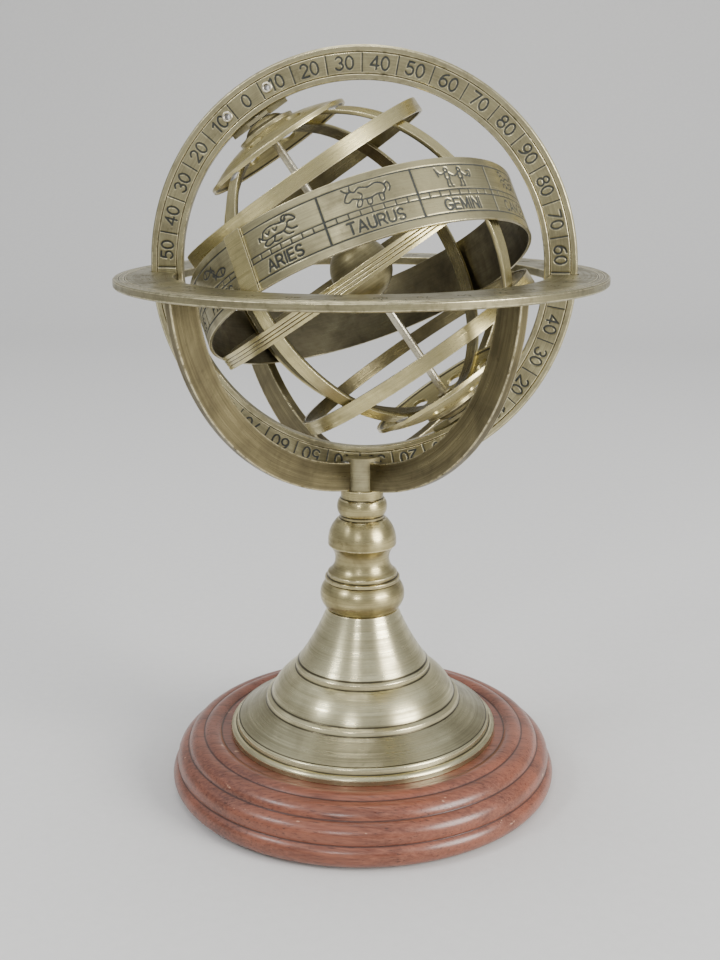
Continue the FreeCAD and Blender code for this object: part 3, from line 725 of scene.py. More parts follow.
CAST_BRASS = brass("cast_brass", (0.46, 0.415, 0.25), (0.34, 0.30, 0.175),
                   (0.13, 0.11, 0.065), own=False, patina=0.6, base_rough=0.33)
DULL_BRASS = brass("dull_brass", (0.34, 0.297, 0.157), (0.21, 0.18, 0.092),
                   (0.12, 0.10, 0.055), patina=0.75, base_rough=0.36, brush_length=8)
BRIGHT_BRASS = brass("bright_brass", (0.74, 0.70, 0.56), (0.60, 0.55, 0.42),
                     (0.22, 0.19, 0.13), patina=0.15, base_rough=0.27, brush_length=8)


def wood():
    """Varnished reddish hardwood, its grain along X, with dark pores and rubbed edges."""
    n = Paint("stained_wood")
    space = n.coords()
    drift = n.noise(n.scaled(space, 9, 9, 9), detail=2)
    drift = n.add("CombineXYZ", 0, {0: 0.0, 1: drift, 2: drift})
    drift = n.add("VectorMath", 0, {0: drift, 1: (0.006,) * 3}, operation="MULTIPLY")
    bent = n.add("VectorMath", 0, {0: space, 1: drift}, operation="ADD")
    figure = n.noise(n.scaled(bent, 14, 130, 130), detail=4, rough=0.6)
    fibre = n.noise(n.scaled(bent, 90, 1500, 1500), detail=3, rough=0.7)
    pores = n.noise(n.scaled(bent, 160, 2600, 2600), detail=2, rough=0.5)
    edge = n.attribute("edge")
    colour = n.mix(n.smooth(figure, 0.3, 0.7), (0.090, 0.026, 0.014), (0.225, 0.068, 0.036))
    colour = n.mix(n.ramp(fibre, 0.38, 0.68, 0.0, 0.6), colour, (0.32, 0.118, 0.066))
    pore = n.smooth(pores, 0.58, 0.72)
    colour = n.mix(n.times(pore, 0.75), colour, (0.035, 0.010, 0.007))
    darkening = n.times(n.ramp(edge, -0.1, -1.0), 0.8, clamp=True)
    colour = n.mix(darkening, colour, (0.03, 0.009, 0.006))
    rub = n.noise(space, scale=210, detail=4, rough=0.7)
    worn = n.times(n.ramp(edge, 0.2, 1.0), n.smooth(rub, 0.52, 0.66), clamp=True)
    colour = n.mix(n.times(worn, 0.55), colour, (0.42, 0.19, 0.11))
    nicks = n.noise(n.scaled(space, 260, 420, 700), detail=2, rough=0.5)
    nicks = n.times(n.smooth(nicks, 0.72, 0.76), 0.7)
    colour = n.mix(nicks, colour, (0.5, 0.29, 0.19))
    rough = n.plus(n.ramp(fibre, 0.3, 0.7, 0.27, 0.4), n.times(pore, 0.2))
    normal = n.bump(fibre, 0.00004, 0.6)
    normal = n.bump(pore, 0.00006, -0.8, normal)
    n.set(Base_Color=colour, Roughness=rough, Normal=normal, Coat_Weight=0.3, Coat_Roughness=0.2)
    return n.material


def felt():
    n = Paint("felt")
    space = n.coords()
    fluff = n.noise(space, scale=1400, detail=5, rough=0.75, distortion=1.2)
    clump = n.noise(space, scale=180, detail=3)
    colour = n.mix(n.ramp(fluff, 0.3, 0.7), (0.006, 0.024, 0.014), (0.02, 0.06, 0.036))
    colour = n.mix(n.ramp(clump, 0.4, 0.7, 0.0, 0.4), colour, (0.03, 0.075, 0.05))
    n.set(Base_Color=colour, Roughness=0.95, Normal=n.bump(fluff, 0.0004, 0.9), Sheen_Weight=0.4)
    return n.material


def steel():
    n = Paint("steel")
    space = n.coords()
    turned = n.noise(n.scaled(space, 120, 120, 2600), detail=3)
    spots = n.noise(space, scale=500, detail=4, rough=0.7)
    colour = n.mix(n.ramp(turned, 0.35, 0.65), (0.36, 0.37, 0.38), (0.56, 0.57, 0.58))
    colour = n.mix(n.smooth(spots, 0.6, 0.8), colour, (0.14, 0.11, 0.09))
    n.set(Base_Color=colour, Metallic=1.0, Roughness=n.ramp(turned, 0.3, 0.7, 0.28, 0.42),
          Normal=n.bump(turned, 0.00002, 0.5))
    return n.material


WOOD, FELT, STEEL = wood(), felt(), steel()


def repaint(node, material):
    """Gives a CAD node that stays visible a new material."""
    slots = NODES[node].material_slots
    for entry in slots:
        entry.material = material
    if not slots:
        NODES[node].data.materials.append(material)


# ---------------------------------------------------------------- base and stem
repaint("felt_pad", FELT)
repaint("tie_washer", STEEL)
repaint("tie_bolt", STEEL)

WOOD_PROFILE = [
    (10.5, 1.2), (59.0, 1.2), (58.6, 7.4, 3.7), (55.3, 13.3, 4.4), (50.3, 16.8, 4.2),
    (44.8, 16.9, 3.6), (3, 16.9), (3, 8), (10.5, 8),
]
BELL_PROFILE = [
    (40.8, 16.9), (41.9, 16.9), (41.9, 18.4), (40.6, 19.5, 1.4), (40.1, 19.5), (39.9, 20.8),
    (39.1, 21.5, 0.9), (30.6, 26.8), (30.3, 28.2), (28.9, 29.0), (28.5, 29.9),
    (21.0, 37.3, 14.5), (21.1, 38.9), (20.2, 39.7), (11.1, 56.7, -78.0), (3.0, 56.7),
    (3.0, 55.7), (9.9, 55.7), (13.0, 49.6), (16.8, 43.2), (19.4, 38.6), (19.9, 36.9),
    (27.4, 29.4), (29.4, 26.2), (38.8, 20.4), (39.2, 18.5), (40.8, 18.2),
]
STEM_PROFILE = [
    (2.5, 56.7), (10.6, 56.7), (10.9, 66.0, 5.8), (11.6, 66.1), (11.6, 67.1), (10.8, 67.4),
    (10.8, 68.5), (10.5, 77.4, -5.45), (10.5, 78.1), (7.3, 85.8, 9.6), (6.85, 85.9),
    (6.85, 86.9), (6.9, 92.0, 4.5), (6.5, 92.3), (6.5, 95.3), (3.0, 95.3), (3.0, 88.0),
    (2.5, 87.6), (2.5, 56.9),
]
lathe("wood_base_turned", WOOD_PROFILE, UPRIGHT, "stand", "stained_wood", "wood_base", WOOD,
      arris=0.3, steps=256)
lathe("bell_foot_spun", BELL_PROFILE, UPRIGHT, "stand", "antique_brass", "bell_foot",
      SPUN_BRASS, arris=0.22, steps=256)
lathe("stem_turned", STEM_PROFILE, UPRIGHT, "stand", "antique_brass", "stem", STEM_BRASS,
      arris=0.18, steps=160)
repaint("cradle_hub", CAST_BRASS)


# ---------------------------------------------------------------- cradle arms
ARM_INNER, ARM_OUTER, ARM_HALF = 57.2, 65.9, 1.5
ARM_MIDDLE, ARM_TRACK = 61.55, 61.5
HUB_FACE, HORIZON_DROP = 5.3, 3.5  # where an arm meets the hub and the horizon ring


def cradle_arm(corner, azimuth):
    """Quarter hoop of flat bar from the hub up to the underside of the horizon ring."""
    section, wear = filled(strip(ARM_INNER, ARM_OUTER, 2 * ARM_HALF, 0.3), 0.9)
    t = np.concatenate([[0, 0.002], np.linspace(0.01, 0.99, 90), [0.998, 1]])[:, None]
    r = section[:, 0][None]
    start, end = np.arcsin(HUB_FACE / r), np.arccos(HORIZON_DROP / r)
    angle = start + (end - start) * t
    shrink = np.ones_like(t)
    shrink[[0, -1]] = 0.97
    rr = ARM_MIDDLE + (r - ARM_MIDDLE) * shrink
    x, y, z = rr * np.sin(angle), section[:, 1][None] * shrink, -rr * np.cos(angle)
    nu, nv = x.shape
    # the grid runs from the hub outwards, which turns the section's sense over
    faces = [tuple(face[::-1]) for face in grid_faces(nu, nv, full_turn_round=False).tolist()]
    track = np.stack(np.broadcast_arrays(angle * ARM_TRACK, 0.0, section_track(section)), -1)
    mesh_of(
        "cradle_arm_bar_" + corner, np.stack([x, y, z], -1).reshape(-1, 3),
        faces + end_faces(nu, nv),
        turn("Z", azimuth) @ shift(0, 0, SPHERE_HEIGHT), "stand", "antique_brass",
        "cradle_arm_" + corner, ARM_BRASS_PAINTED_SHADE, track.reshape(-1, 3), edge=np.tile(wear, nu),
    )


# The arms' brass is far darker than the rest: their patina plus painted shade standing in for the
# dark reflections on their broad faces.
ARM_BRASS_PAINTED_SHADE = brass("arm_brass_painted_shade", (0.24, 0.203, 0.105), (0.105, 0.086, 0.045),
                  (0.07, 0.058, 0.034), patina=0.55, base_rough=0.27, brush_length=26,
                  brush_width=0.3)
for quarter, corner in enumerate(("rear_right", "rear_left", "front_left", "front_right")):
    cradle_arm(corner, 45 + 90 * quarter)


# ---------------------------------------------------------------- horizon ring
HORIZON_PROFILE = [
    (54.3, 157.7), (54.5, 157.5), (71.1, 157.5), (71.5, 157.9), (71.5, 159.6), (71.1, 160),
    (70.0, 160), (69.75, 159.7), (69.5, 160), (68.4, 160), (68.15, 159.7), (67.9, 160),
    (54.5, 160), (54.3, 159.8),
]
HORIZON_TOP, SCALE_END = 160, 67.7
COMPASS = ["N", "NE", "E", "SE", "S", "SW", "W", "NW"]


def on_radius(strokes, a, radius):
    """Strokes with their origin on a radius at angle a and their tops outwards."""
    out, across = np.array([math.cos(a), math.sin(a)]), np.array([-math.sin(a), math.cos(a)])
    return [-s[:, :1] * across + radius * out + s[:, 1:] * out for s in strokes]


def horizon_relief(angles, points):
    """Degree ticks, numbers and compass letters on the top, read from outside."""
    r, z = points.T
    rows = np.where((z > HORIZON_TOP - 0.1) & (r > 55) & (r < SCALE_END + 0.1))[0]
    ink = np.zeros((len(angles), len(points)))
    marks = []
    for degree in range(0, 360, 5):
        tick = line(0, 64.6 if degree % 10 == 0 else 66.0, 0, SCALE_END)
        marks.append((math.radians(degree), [tick], 0, 0.28))
    for k in range(36):
        if k % 9:
            marks.append((math.radians(10 * k), lettering(quarter_value(k), 2.2, 0.3), 62.4, 0.34))
    for k, word in enumerate(COMPASS):
        marks.append((math.radians(90 - 45 * k), lettering(word, 3.2, 0.3), 58.2, 0.5))
    for a, strokes, radius, width in marks:
        near = np.where(np.abs(apart(angles, a)) * 62 < 4.5)[0]
        aa, rr = np.meshgrid(angles[near], r[rows], indexing="ij")
        lines = segments(on_radius(strokes, a, radius), width)
        engrave(ink, near, rows, rr * np.cos(aa), rr * np.sin(aa), lines)
    return ink * 0.12, ink


horizon_section = filled(rounded(HORIZON_PROFILE, 0.12), 0.24,
                         lambda r, z: z > HORIZON_TOP - 0.05 and 55 < r < SCALE_END + 0.1)
horizon = hoop("horizon_ring_engraved", horizon_section, UPRIGHT, "stand", "antique_brass",
               "horizon_ring", HORIZON_BRASS_PAINTED_SHADE, full_turn(1440), horizon_relief)


def cut_away(obj, verts, faces, place=UPRIGHT):
    """Takes a closed shape out of a piece for good; verts are millimetres."""
    mesh = bpy.data.meshes.new("cutter")
    mesh.from_pydata([tuple(np.array(v) * MM) for v in verts], [], faces)
    mesh.transform(place)
    mesh.update()
    tool = bpy.data.objects.new("cutter", mesh)
    bpy.context.scene.collection.objects.link(tool)
    modifier = obj.modifiers.new("notch", "BOOLEAN")
    modifier.operation, modifier.object, modifier.solver = "DIFFERENCE", tool, "EXACT"
    bpy.context.view_layer.update()
    cut = obj.evaluated_get(bpy.context.evaluated_depsgraph_get())
    result = bpy.data.meshes.new_from_object(cut)
    obj.modifiers.clear()
    obj.data = result
    bpy.data.objects.remove(tool)


# one box cuts both notches for the meridian ring
notch = [(x, y, z) for x in (-62.8, 62.8) for y in (-1.8, 1.8) for z in (156, 161)]
BOX_FACES = [(0, 1, 3, 2), (4, 6, 7, 5), (0, 4, 5, 1), (2, 3, 7, 6), (0, 2, 6, 4), (1, 5, 7, 3)]
cut_away(horizon, notch, BOX_FACES)


# ---------------------------------------------------------------- meridian ring
MERIDIAN_PROFILE = [
    (52.8, -1.3), (53.0, -1.5), (54.3, -1.5), (54.5, -1.25), (54.7, -1.5), (60.1, -1.5),
    (60.3, -1.25), (60.5, -1.5), (61.8, -1.5), (62.3, -1.0), (62.3, 1.0), (61.8, 1.5),
    (60.5, 1.5), (60.3, 1.25), (60.1, 1.5), (54.7, 1.5), (54.5, 1.25), (54.3, 1.5),
    (53.0, 1.5), (52.8, 1.3),
]
# Local Z of this piece points to the ring's front; its local X is the north pole and
# its local Y runs anticlockwise as seen from the front.
MERIDIAN_PLACE = POLE @ Matrix(
    ((0, -1, 0, 0), (0, 0, -1, 0), (1, 0, 0, 0), (0, 0, 0, 1))
)
BAND_MIDDLE, DIGIT_HEIGHT = 57.4, 3.45
MERIDIAN_FACE = 1.49  # just inside the flat faces


def meridian_relief(angles, points):
    """Numbers every ten degrees on both faces, with a line between each two."""
    r, z = points.T
    ink = np.zeros((len(angles), len(points)))
    for side in (1, -1):
        rows = np.where((z * side > MERIDIAN_FACE) & (r > 54.6) & (r < 60.2))[0]
        for k in range(36):
            for degrees, strokes, width in (
                (-10 * k, lettering(quarter_value(k), DIGIT_HEIGHT, 0.22), 0.56),
                (-10 * k - 5, [line(0, -2.9, 0, 2.9)], 0.4),
            ):
                gap = apart(angles, math.radians(degrees))
                near = np.where(np.abs(gap) * BAND_MIDDLE < 4)[0]
                gg, rr = np.meshgrid(gap[near], r[rows], indexing="ij")
                engrave(ink, near, rows, -rr * np.sin(gg) * side,
                        rr * np.cos(gg) - BAND_MIDDLE, segments(strokes, width))
    return ink * 0.2, ink


RIVETS = [(BAND_MIDDLE * math.cos(a), BAND_MIDDLE * math.sin(a))
          for a in np.radians([-7, 7, 173, 187])]


def meridian_holes(angles, points):
    """Plan of the holes that the eyelets pass through."""
    r, z = points.T
    hole = np.zeros((len(angles), len(points)), bool)
    for x, y in RIVETS:
        off_x = r * np.cos(angles[:, None]) - x
        off_y = r * np.sin(angles[:, None]) - y
        hole |= (np.hypot(off_x, off_y) < 1.4) & (np.abs(z) > MERIDIAN_FACE)
    partner = np.full(len(points), -1)
    for j in range(len(points)):
        match = np.where((np.abs(r - r[j]) < 1e-6) & (np.abs(z + z[j]) < 1e-6))[0]
        if len(match):
            partner[j] = match[0]
    return hole, partner


def symmetric(section):
    """Makes a section's upper half the exact mirror of its lower half."""
    points, wear = section
    low = points[:, 1] < 0
    half, worn = points[low], wear[low]
    return np.vstack([half, half[::-1] * [1, -1]]), np.concatenate([worn, worn[::-1]])


MERIDIAN_STEP = 0.19  # spacing of the grid's points on the number band
meridian_section = filled(rounded(MERIDIAN_PROFILE, 0.14), MERIDIAN_STEP,
                          lambda r, z: abs(z) > 1.45 and 54.8 < r < 60.0)
MERIDIAN_ANGLES = np.arange(1898) * MERIDIAN_STEP / BAND_MIDDLE
hoop("meridian_ring_engraved", symmetric(meridian_section), MERIDIAN_PLACE, "meridian",
     "antique_brass", "meridian_ring", RING_BRASS, MERIDIAN_ANGLES, meridian_relief,
     drop=meridian_holes)
repaint("pole_strap_north", CAST_BRASS)
repaint("pole_strap_south", CAST_BRASS)


# ---------------------------------------------------------------- eyelets
EYELET_PROFILE = [
    (0.75, -2.6), (1.15, -2.95, 0.42), (1.6, -2.6, 0.42), (1.6, -2.5), (1.1, -2.5),
    (1.1, 1.5), (1.6, 1.5), (1.6, 1.6), (1.15, 1.95, 0.42), (0.75, 1.6, 0.42),
]


def eyelets():
    """Four tubes with rolled ends, with painted shade inside their bores."""
    points, wear = rounded(EYELET_PROFILE, 0.12)
    steps = 40
    one = around(full_turn(steps), *points.T)
    verts, faces = [], []
    for number, (x, y) in enumerate(RIVETS):
        verts.append(one + [x, y, 0])
        faces += (grid_faces(steps, len(points)) + number * len(one)).tolist()
    mesh_of(
        "strap_rivets_rolled", np.vstack(verts), faces, MERIDIAN_PLACE, "meridian",
        "bright_brass", "strap_rivets", BRIGHT_BRASS, np.tile(one, (len(RIVETS), 1)),
        # painted shade in the bores of the tubes
        dark=np.tile(points[:, 0] < 0.85, steps * len(RIVETS)) * 0.9,
    )


eyelets()


# ---------------------------------------------------------------- pierced polar caps
CAP_OUTER, CAP_INNER, CAP_RIM = 47.95, 47.05, 22.5
CAP_HOLE, WINDOW_CIRCLE, WINDOW_RADIUS = 1.4, 16, 2.2


def pin(centre, radius, low, high, sides=36):
    """Upright cylinder as corner points and faces, in millimetres."""
    a = full_turn(sides)
    circle = np.stack([centre[0] + radius * np.cos(a), centre[1] + radius * np.sin(a)], 1)
    verts = np.vstack([np.c_[circle, np.full(sides, z)] for z in (low, high)])
    faces = [(k, (k + 1) % sides, sides + (k + 1) % sides, sides + k) for k in range(sides)]
    return verts, faces + [tuple(range(sides))[::-1], tuple(range(sides, 2 * sides))]


def polar_cap(pole, place):
    """Thin dished cap with eight round windows and a rolled rim."""
    def level(radius, r):
        return math.sqrt(radius**2 - r**2)

    rim, shoulder = CAP_RIM + 0.25, CAP_RIM - 0.9
    profile = [
        (CAP_RIM - 0.3, level(CAP_INNER, CAP_RIM)), (rim, level(CAP_INNER, CAP_RIM) - 0.2),
        (rim, level(CAP_OUTER, CAP_RIM) + 0.15), (shoulder, level(CAP_OUTER, shoulder) + 0.05),
    ]
    outer = [(r, level(CAP_OUTER, r)) for r in np.linspace(CAP_RIM - 1.3, CAP_HOLE, 34)]
    inner = [(r, level(CAP_INNER, r)) for r in np.linspace(CAP_HOLE, shoulder, 34)]
    cap = lathe("polar_cap_dished_" + pole, profile + outer + inner, place, "globe",
                "antique_brass", "polar_cap_" + pole, HOOP_BRASS, arris=0.25, steps=240)
    for number in range(8):
        a = math.radians(22.5 + 45 * number)
        centre = (WINDOW_CIRCLE * math.cos(a), WINDOW_CIRCLE * math.sin(a))
        cut_away(cap, *pin(centre, WINDOW_RADIUS, 40, 50), place)


# ---------------------------------------------------------------- axis, ball, collars, bosses
HALF_ROD, ROD_RADIUS, BALL_RADIUS = 52.4, 1.25, 9.2
ROD_PROFILE = [(0, -HALF_ROD), (ROD_RADIUS, -HALF_ROD), (ROD_RADIUS, HALF_ROD), (0, HALF_ROD)]
solid_lathe("axis_rod_turned", ROD_PROFILE, GLOBE, "globe", "bright_brass", "axis_rod",
            BRIGHT_BRASS, arris=0.35, steps=48)
BALL_END = 90 - math.degrees(math.asin(ROD_RADIUS / BALL_RADIUS))
ball_arc = arc(0, 0, BALL_RADIUS, BALL_RADIUS, -BALL_END, BALL_END, 72)
ball_points = np.vstack([ball_arc, [(ROD_RADIUS, 4), (ROD_RADIUS, -4)]])
hoop("centre_ball_turned", (ball_points, np.zeros(len(ball_points))), GLOBE, "globe",
     "antique_brass", "centre_ball", DULL_BRASS, full_turn(96))
COLLAR_PROFILE = [(1.25, 43.4), (2.3, 43.4), (2.3, 45.6), (1.25, 45.6)]
BOSS_PROFILE = [
    (1.25, 47.96), (8.8, 47.16), (8.8, 48.2), (6.9, 48.7), (6.1, 49.1), (2.6, 50.7, 4.2),
    (1.25, 50.7),
]
for pole, place in (("north", GLOBE), ("south", GLOBE_SOUTH)):
    lathe("axis_collar_turned_" + pole, COLLAR_PROFILE, place, "globe", "antique_brass",
          "axis_collar_" + pole, DULL_BRASS, arris=0.2, steps=48)
    lathe("polar_boss_spun_" + pole, BOSS_PROFILE, place, "globe", "bright_brass",
          "polar_boss_" + pole, DULL_BRASS, arris=0.12, steps=96)
    polar_cap(pole, place)


# ---------------------------------------------------------------- hoops of the globe
def inside_shade(limit, amount):
    """Darkens, as painted shade, the faces of a hoop that are nearer to its axis than the limit."""
    return lambda points: np.where(points[:, 0] < limit, amount, 0.0)


STRIP_WIDTH, LAP_RADIUS = 4.2, 46.4
LAP_ANGLE = STRIP_WIDTH / 2 / LAP_RADIUS
COLURE_POLES = (math.pi / 2, 3 * math.pi / 2)  # angles round a colure


def lapped(keep_outer):
    """Half-lap at both poles of a colure, where the other one crosses it."""
    def shape(angles, r, z):
        gap = np.minimum(*[np.abs(angles - pole) for pole in COLURE_POLES])
        near = (gap < LAP_ANGLE)[:, None]
        if keep_outer:
            return np.where(near, np.maximum(r, LAP_RADIUS + 0.01), r), z
        return np.where(near, np.minimum(r, LAP_RADIUS - 0.01), r), z

    return shape


lap_edges = [pole + side * LAP_ANGLE * k
             for pole in COLURE_POLES for side in (-1, 1) for k in (0.999, 1.001)]
colure_angles = np.sort(np.concatenate([full_turn(360), lap_edges]))
# a colure's ring lies in its own XY plane; its local Y is the axis of the globe
EQUINOX = GLOBE @ turn("X", 90)
SOLSTICE = GLOBE @ turn("Z", 90) @ turn("X", 90)
for name, place, keep_outer in (
    ("colure_equinox", EQUINOX, False), ("colure_solstice", SOLSTICE, True)
):
    hoop(name + "_strip", strip(45.8, 47.0, STRIP_WIDTH), place, "globe", "antique_brass", name,
         HOOP_BRASS, colure_angles, shape=lapped(keep_outer), shade=inside_shade(46.2, 0.85))

EQUATOR_PROFILE = [
    (47.05, -2.1), (48.1, -2.1), (48.1, -1.15), (47.9, -0.95), (48.1, -0.75), (48.1, -0.2),
    (47.9, 0), (48.1, 0.2), (48.1, 0.75), (47.9, 0.95), (48.1, 1.15), (48.1, 2.1),
    (47.05, 2.1),
]
hoop("equator_ring_grooved", rounded(EQUATOR_PROFILE, 0.1), GLOBE, "globe", "antique_brass",
     "equator_ring", HOOP_BRASS, shade=inside_shade(47.3, 0.85))
for name, side in (("tropic_north_ring", 1), ("tropic_south_ring", -1)):
    hoop(name + "_strip", strip(38.6, 39.6, STRIP_WIDTH), GLOBE @ shift(0, 0, 29 * side),
         "globe", "antique_brass", name, HOOP_BRASS, shade=inside_shade(38.9, 0.8))


# ---------------------------------------------------------------- solder
def solder_material():
    n = Paint("solder")
    space = n.coords()
    lumps = n.noise(space, scale=500, detail=4, rough=0.65)
    colour = n.mix(n.ramp(lumps, 0.35, 0.65), (0.20, 0.195, 0.18), (0.47, 0.46, 0.42))
    n.set(Base_Color=colour, Metallic=1.0, Roughness=n.ramp(lumps, 0.3, 0.7, 0.32, 0.5),
          Normal=n.bump(lumps, 0.00012, 0.6))
    return n.material


def solder_spots(name, spots, place, body):
    """Flat irregular lumps; a spot is (centre, three half-size vectors) in millimetres."""
    rng = random.Random(name)
    nu, nv = 20, 8
    tilt = math.pi * np.arange(1, nv + 1) / (nv + 1)
    lump = grid_faces(nu, nv, closed=False)[:, [0, 3, 2, 1]]
    verts, faces = [], []
    for number, (centre, axes) in enumerate(spots):
        two, five, _ = [rng.uniform(0, 6.28) for _ in range(3)]
        a = full_turn(nu)
        swell = 1 + 0.14 * np.sin(2 * a + two) + 0.09 * np.sin(5 * a + five)
        ball = around(a, np.sin(tilt) * swell[:, None], np.cos(tilt))
        verts.append(ball @ np.array(axes, float) + centre)
        base = number * nu * nv
        faces += [tuple(face) for face in (lump + base).tolist()]
        faces += [tuple(range(base, base + nu * nv, nv)),
                  tuple(range(base + nv - 1, base + nu * nv, nv))[::-1]]
    mesh_of(name, np.vstack(verts), faces, place, body, "antique_brass", None, SOLDER)


UP = np.array([0, 0, 1])


def heading(azimuth):
    """Unit vectors outwards and sideways at an azimuth in degrees."""
    a = math.radians(azimuth)
    return np.array([math.cos(a), math.sin(a), 0]), np.array([-math.sin(a), math.cos(a), 0])


def on_hoop(radius, tilt, azimuth, along, across, thick):
    """Spot on a colure's outside, tilt degrees from the pole at an azimuth."""
    t = math.radians(tilt)
    level, side = heading(azimuth)
    out = level * math.sin(t) + UP * math.cos(t)
    return out * radius, (np.cross(side, out) * along, side * across, out * thick)


SOLDER = solder_material()
for pole, place in (("north", GLOBE), ("south", GLOBE_SOUTH)):
    spots = [on_hoop(46.95, 29.6, 90 * k, 1.5, 1.9, 0.42) for k in range(4)]
    solder_spots("solder_cap_" + pole, spots, place, "globe")
hub_spots = []
for k in range(4):
    out, side = heading(45 + 90 * k)
    hub_spots.append((out * 6.3 + UP * 104, (out * 1.3, side * 1.35, UP * 0.5)))
    hub_spots.append((out * 61.5 + UP * 157.35, (out * 4.1, side * 2.1, UP * 0.35)))
solder_spots("solder_cradle", hub_spots, UPRIGHT, "stand")


# ---------------------------------------------------------------- zodiac band
ZODIAC_OUTER, ZODIAC_WIDTH, SEAM_OUTER = 49.1, 18.0, 49.95
FIRST_CELL, CELL = 94.0, 30.0  # degrees round the band
SEAM_FROM, SEAM_TO = 90.5, 97.5
TOP_LINE, LADDER_TOP, LADDER_FOOT, FOOT_LINE = 6.85, -0.2, -1.75, -6.55


def cell_strokes(word):
    """One sign's drawing, in millimetres from the middle of its cell."""
    half = math.radians(CELL) * ZODIAC_OUTER / 2
    figure = [stroke * 0.98 + [0, 3.35] for stroke in FIGURES[word]]
    name = [stroke + [0, -4.25] for stroke in lettering(word, 2.95, 0.24, 20.0)]
    border = [line(-half - 1, v, half + 1, v)
              for v in (TOP_LINE, LADDER_TOP, LADDER_FOOT, FOOT_LINE)]
    rungs = [line(x, LADDER_TOP, x, LADDER_FOOT) for x in np.linspace(-half, half, 9)[1:-1]]
    divider = [line(side * half, FOOT_LINE, side * half, TOP_LINE) for side in (-1, 1)]
    return np.vstack([
        segments(figure, 0.5), segments(name, 0.62), segments(border, 0.42),
        segments(rungs, 0.42), segments(divider, 0.55),
    ])


def zodiac_relief(angles, points):
    """Twelve sign cells round the outside, and nothing under the lapped plate."""
    r, v = points.T
    rows = np.where((r > ZODIAC_OUTER - 0.02) & (np.abs(v) < 8.4))[0]
    ink = np.zeros((len(angles), len(points)))
    for number, word in enumerate(FIGURES):
        gap = apart(angles, math.radians(FIRST_CELL + CELL * (number + 0.5)))
        near = np.where(np.abs(gap) <= math.radians(CELL / 2) + 0.006)[0]
        lines = cell_strokes(word)
        for chunk in np.array_split(near, 12):
            gg, vv = np.meshgrid(gap[chunk], v[rows], indexing="ij")
            engrave(ink, chunk, rows, gg * ZODIAC_OUTER, vv, lines)
    ink[(angles > math.radians(SEAM_FROM)) & (angles < math.radians(SEAM_TO))] = 0
    return ink * 0.18, ink


zodiac_section = filled(strip(48.15, ZODIAC_OUTER, ZODIAC_WIDTH, 0.16), 0.21,
                        lambda r, v: r > ZODIAC_OUTER - 0.02)
hoop("zodiac_band_engraved", zodiac_section, ZODIAC, "globe", "antique_brass", "zodiac_band",
     RING_BRASS, full_turn(1440), zodiac_relief, shade=inside_shade(48.3, 0.85))


def seam_plate():
    """Curved plate that laps the band's joint."""
    section, wear = filled(strip(ZODIAC_OUTER, SEAM_OUTER, ZODIAC_WIDTH, 0.2), 1.0)
    angles = np.radians(np.concatenate([
        [SEAM_FROM, SEAM_FROM + 0.1], np.linspace(SEAM_FROM + 0.3, SEAM_TO - 0.3, 22),
        [SEAM_TO - 0.1, SEAM_TO],
    ]))
    nu, nv = len(angles), len(section)
    r, worn = np.tile(section[:, 0], (nu, 1)), np.tile(wear, (nu, 1))
    r[[0, -1]] = np.minimum(r[[0, -1]], SEAM_OUTER - 0.15)
    worn[[0, 1, -2, -1]] = 1.0
    faces = [tuple(face) for face in grid_faces(nu, nv, full_turn_round=False).tolist()]
    mesh_of(
        "zodiac_band_lap", around(angles, r, section[:, 1]), faces + end_faces(nu, nv), ZODIAC,
        "globe", "antique_brass", "zodiac_band", HOOP_BRASS,
        around(angles, 49, section_track(section)), edge=worn.ravel(),
    )


seam_plate()


# ---------------------------------------------------------------- floor, light, camera
def soft_light(name, place, aim, size, watts, colour=(1, 1, 1)):
    data = bpy.data.lights.new(name, "AREA")
    data.shape, data.size, data.energy, data.color = "DISK", size, watts, colour
    lamp = bpy.data.objects.new(name, data)
    bpy.context.scene.collection.objects.link(lamp)
    lamp.location = place
    direction = lamp.location - type(lamp.location)(aim)
    lamp.rotation_euler = direction.to_track_quat("Z", "Y").to_euler()


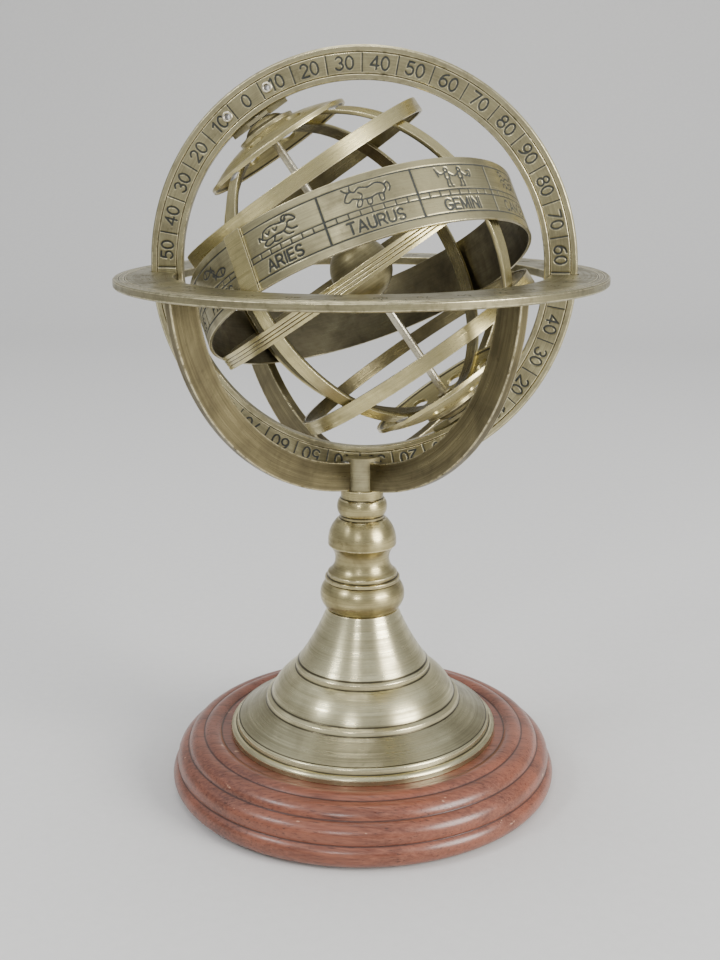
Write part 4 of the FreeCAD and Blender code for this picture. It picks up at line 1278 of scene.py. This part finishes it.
def floor():
    """Pale sweep: a floor that curves up into a back wall."""
    far, wall, bend = 30.0, 1.4, 0.5
    start = wall - bend
    profile = [(-far, 0.0), (start, 0.0)]
    profile += [(start + bend * math.sin(a), bend - bend * math.cos(a))
                for a in np.linspace(0, math.pi / 2, 17)[1:]]
    profile += [(wall, 1.8)]
    verts = [(x, y, z) for x in (-far, far) for y, z in profile]
    count = len(profile)
    faces = [(k, count + k, count + k + 1, k + 1) for k in range(count - 1)]
    mesh = bpy.data.meshes.new("floor_sweep")
    mesh.from_pydata(verts, [], faces)
    mesh.polygons.foreach_set("use_smooth", [True] * len(faces))
    obj = bpy.data.objects.new("floor_sweep", mesh)
    bpy.context.scene.collection.objects.link(obj)
    n = Paint("floor_paper")
    tone = n.noise(n.coords(), scale=300, detail=3)
    n.set(Base_Color=n.mix(tone, (0.66, 0.65, 0.63), (0.72, 0.71, 0.69)), Roughness=0.85)
    mesh.materials.append(n.material)


floor()
soft_light("key", (0.95, -0.5, 0.5), (0, 0, 0.12), 0.6, 15, (1.0, 0.985, 0.96))
soft_light("side", (-0.85, -0.55, 0.95), (0, 0, 0.12), 0.3, 4, (0.96, 0.98, 1.0))
soft_light("top", (-0.1, 0.1, 1.3), (0, 0, 0.1), 0.6, 4)
soft_light("front", (-0.2, -1.2, 0.75), (0, 0, 0.1), 0.25, 2.8)

world = bpy.data.worlds.new("studio")
bpy.context.scene.world = world
world.use_nodes = True
sky = Nodes(world.node_tree)
rise = sky.add("SeparateXYZ", 2, {0: sky.add("TexCoord", "Generated")})
# bright overhead, dark lower down for the brass to mirror, and pale again at the horizon
sky_colour = sky.mix(sky.smooth(rise, 0.0, 0.8), (0.11, 0.11, 0.115), (0.92, 0.95, 1.0))
sky_colour = sky.mix(sky.ramp(rise, 0.3, 0.2), sky_colour, (0.50, 0.50, 0.50))
sky.feed(world.node_tree.nodes["Background"].inputs["Color"], sky_colour)

lens = bpy.data.cameras.new("camera")
lens.lens, lens.sensor_width, lens.sensor_fit = 48, 36, "AUTO"
camera = bpy.data.objects.new("camera", lens)
bpy.context.scene.collection.objects.link(camera)
camera.matrix_world = (
    Matrix.Translation((0.037360, -0.374629, 0.197124))
    @ Matrix.Rotation(0.101006874, 4, "Z")
    @ Matrix.Rotation(1.312092652, 4, "X")
    @ Matrix.Rotation(-0.003671507, 4, "Z")
)
bpy.context.scene.camera = camera
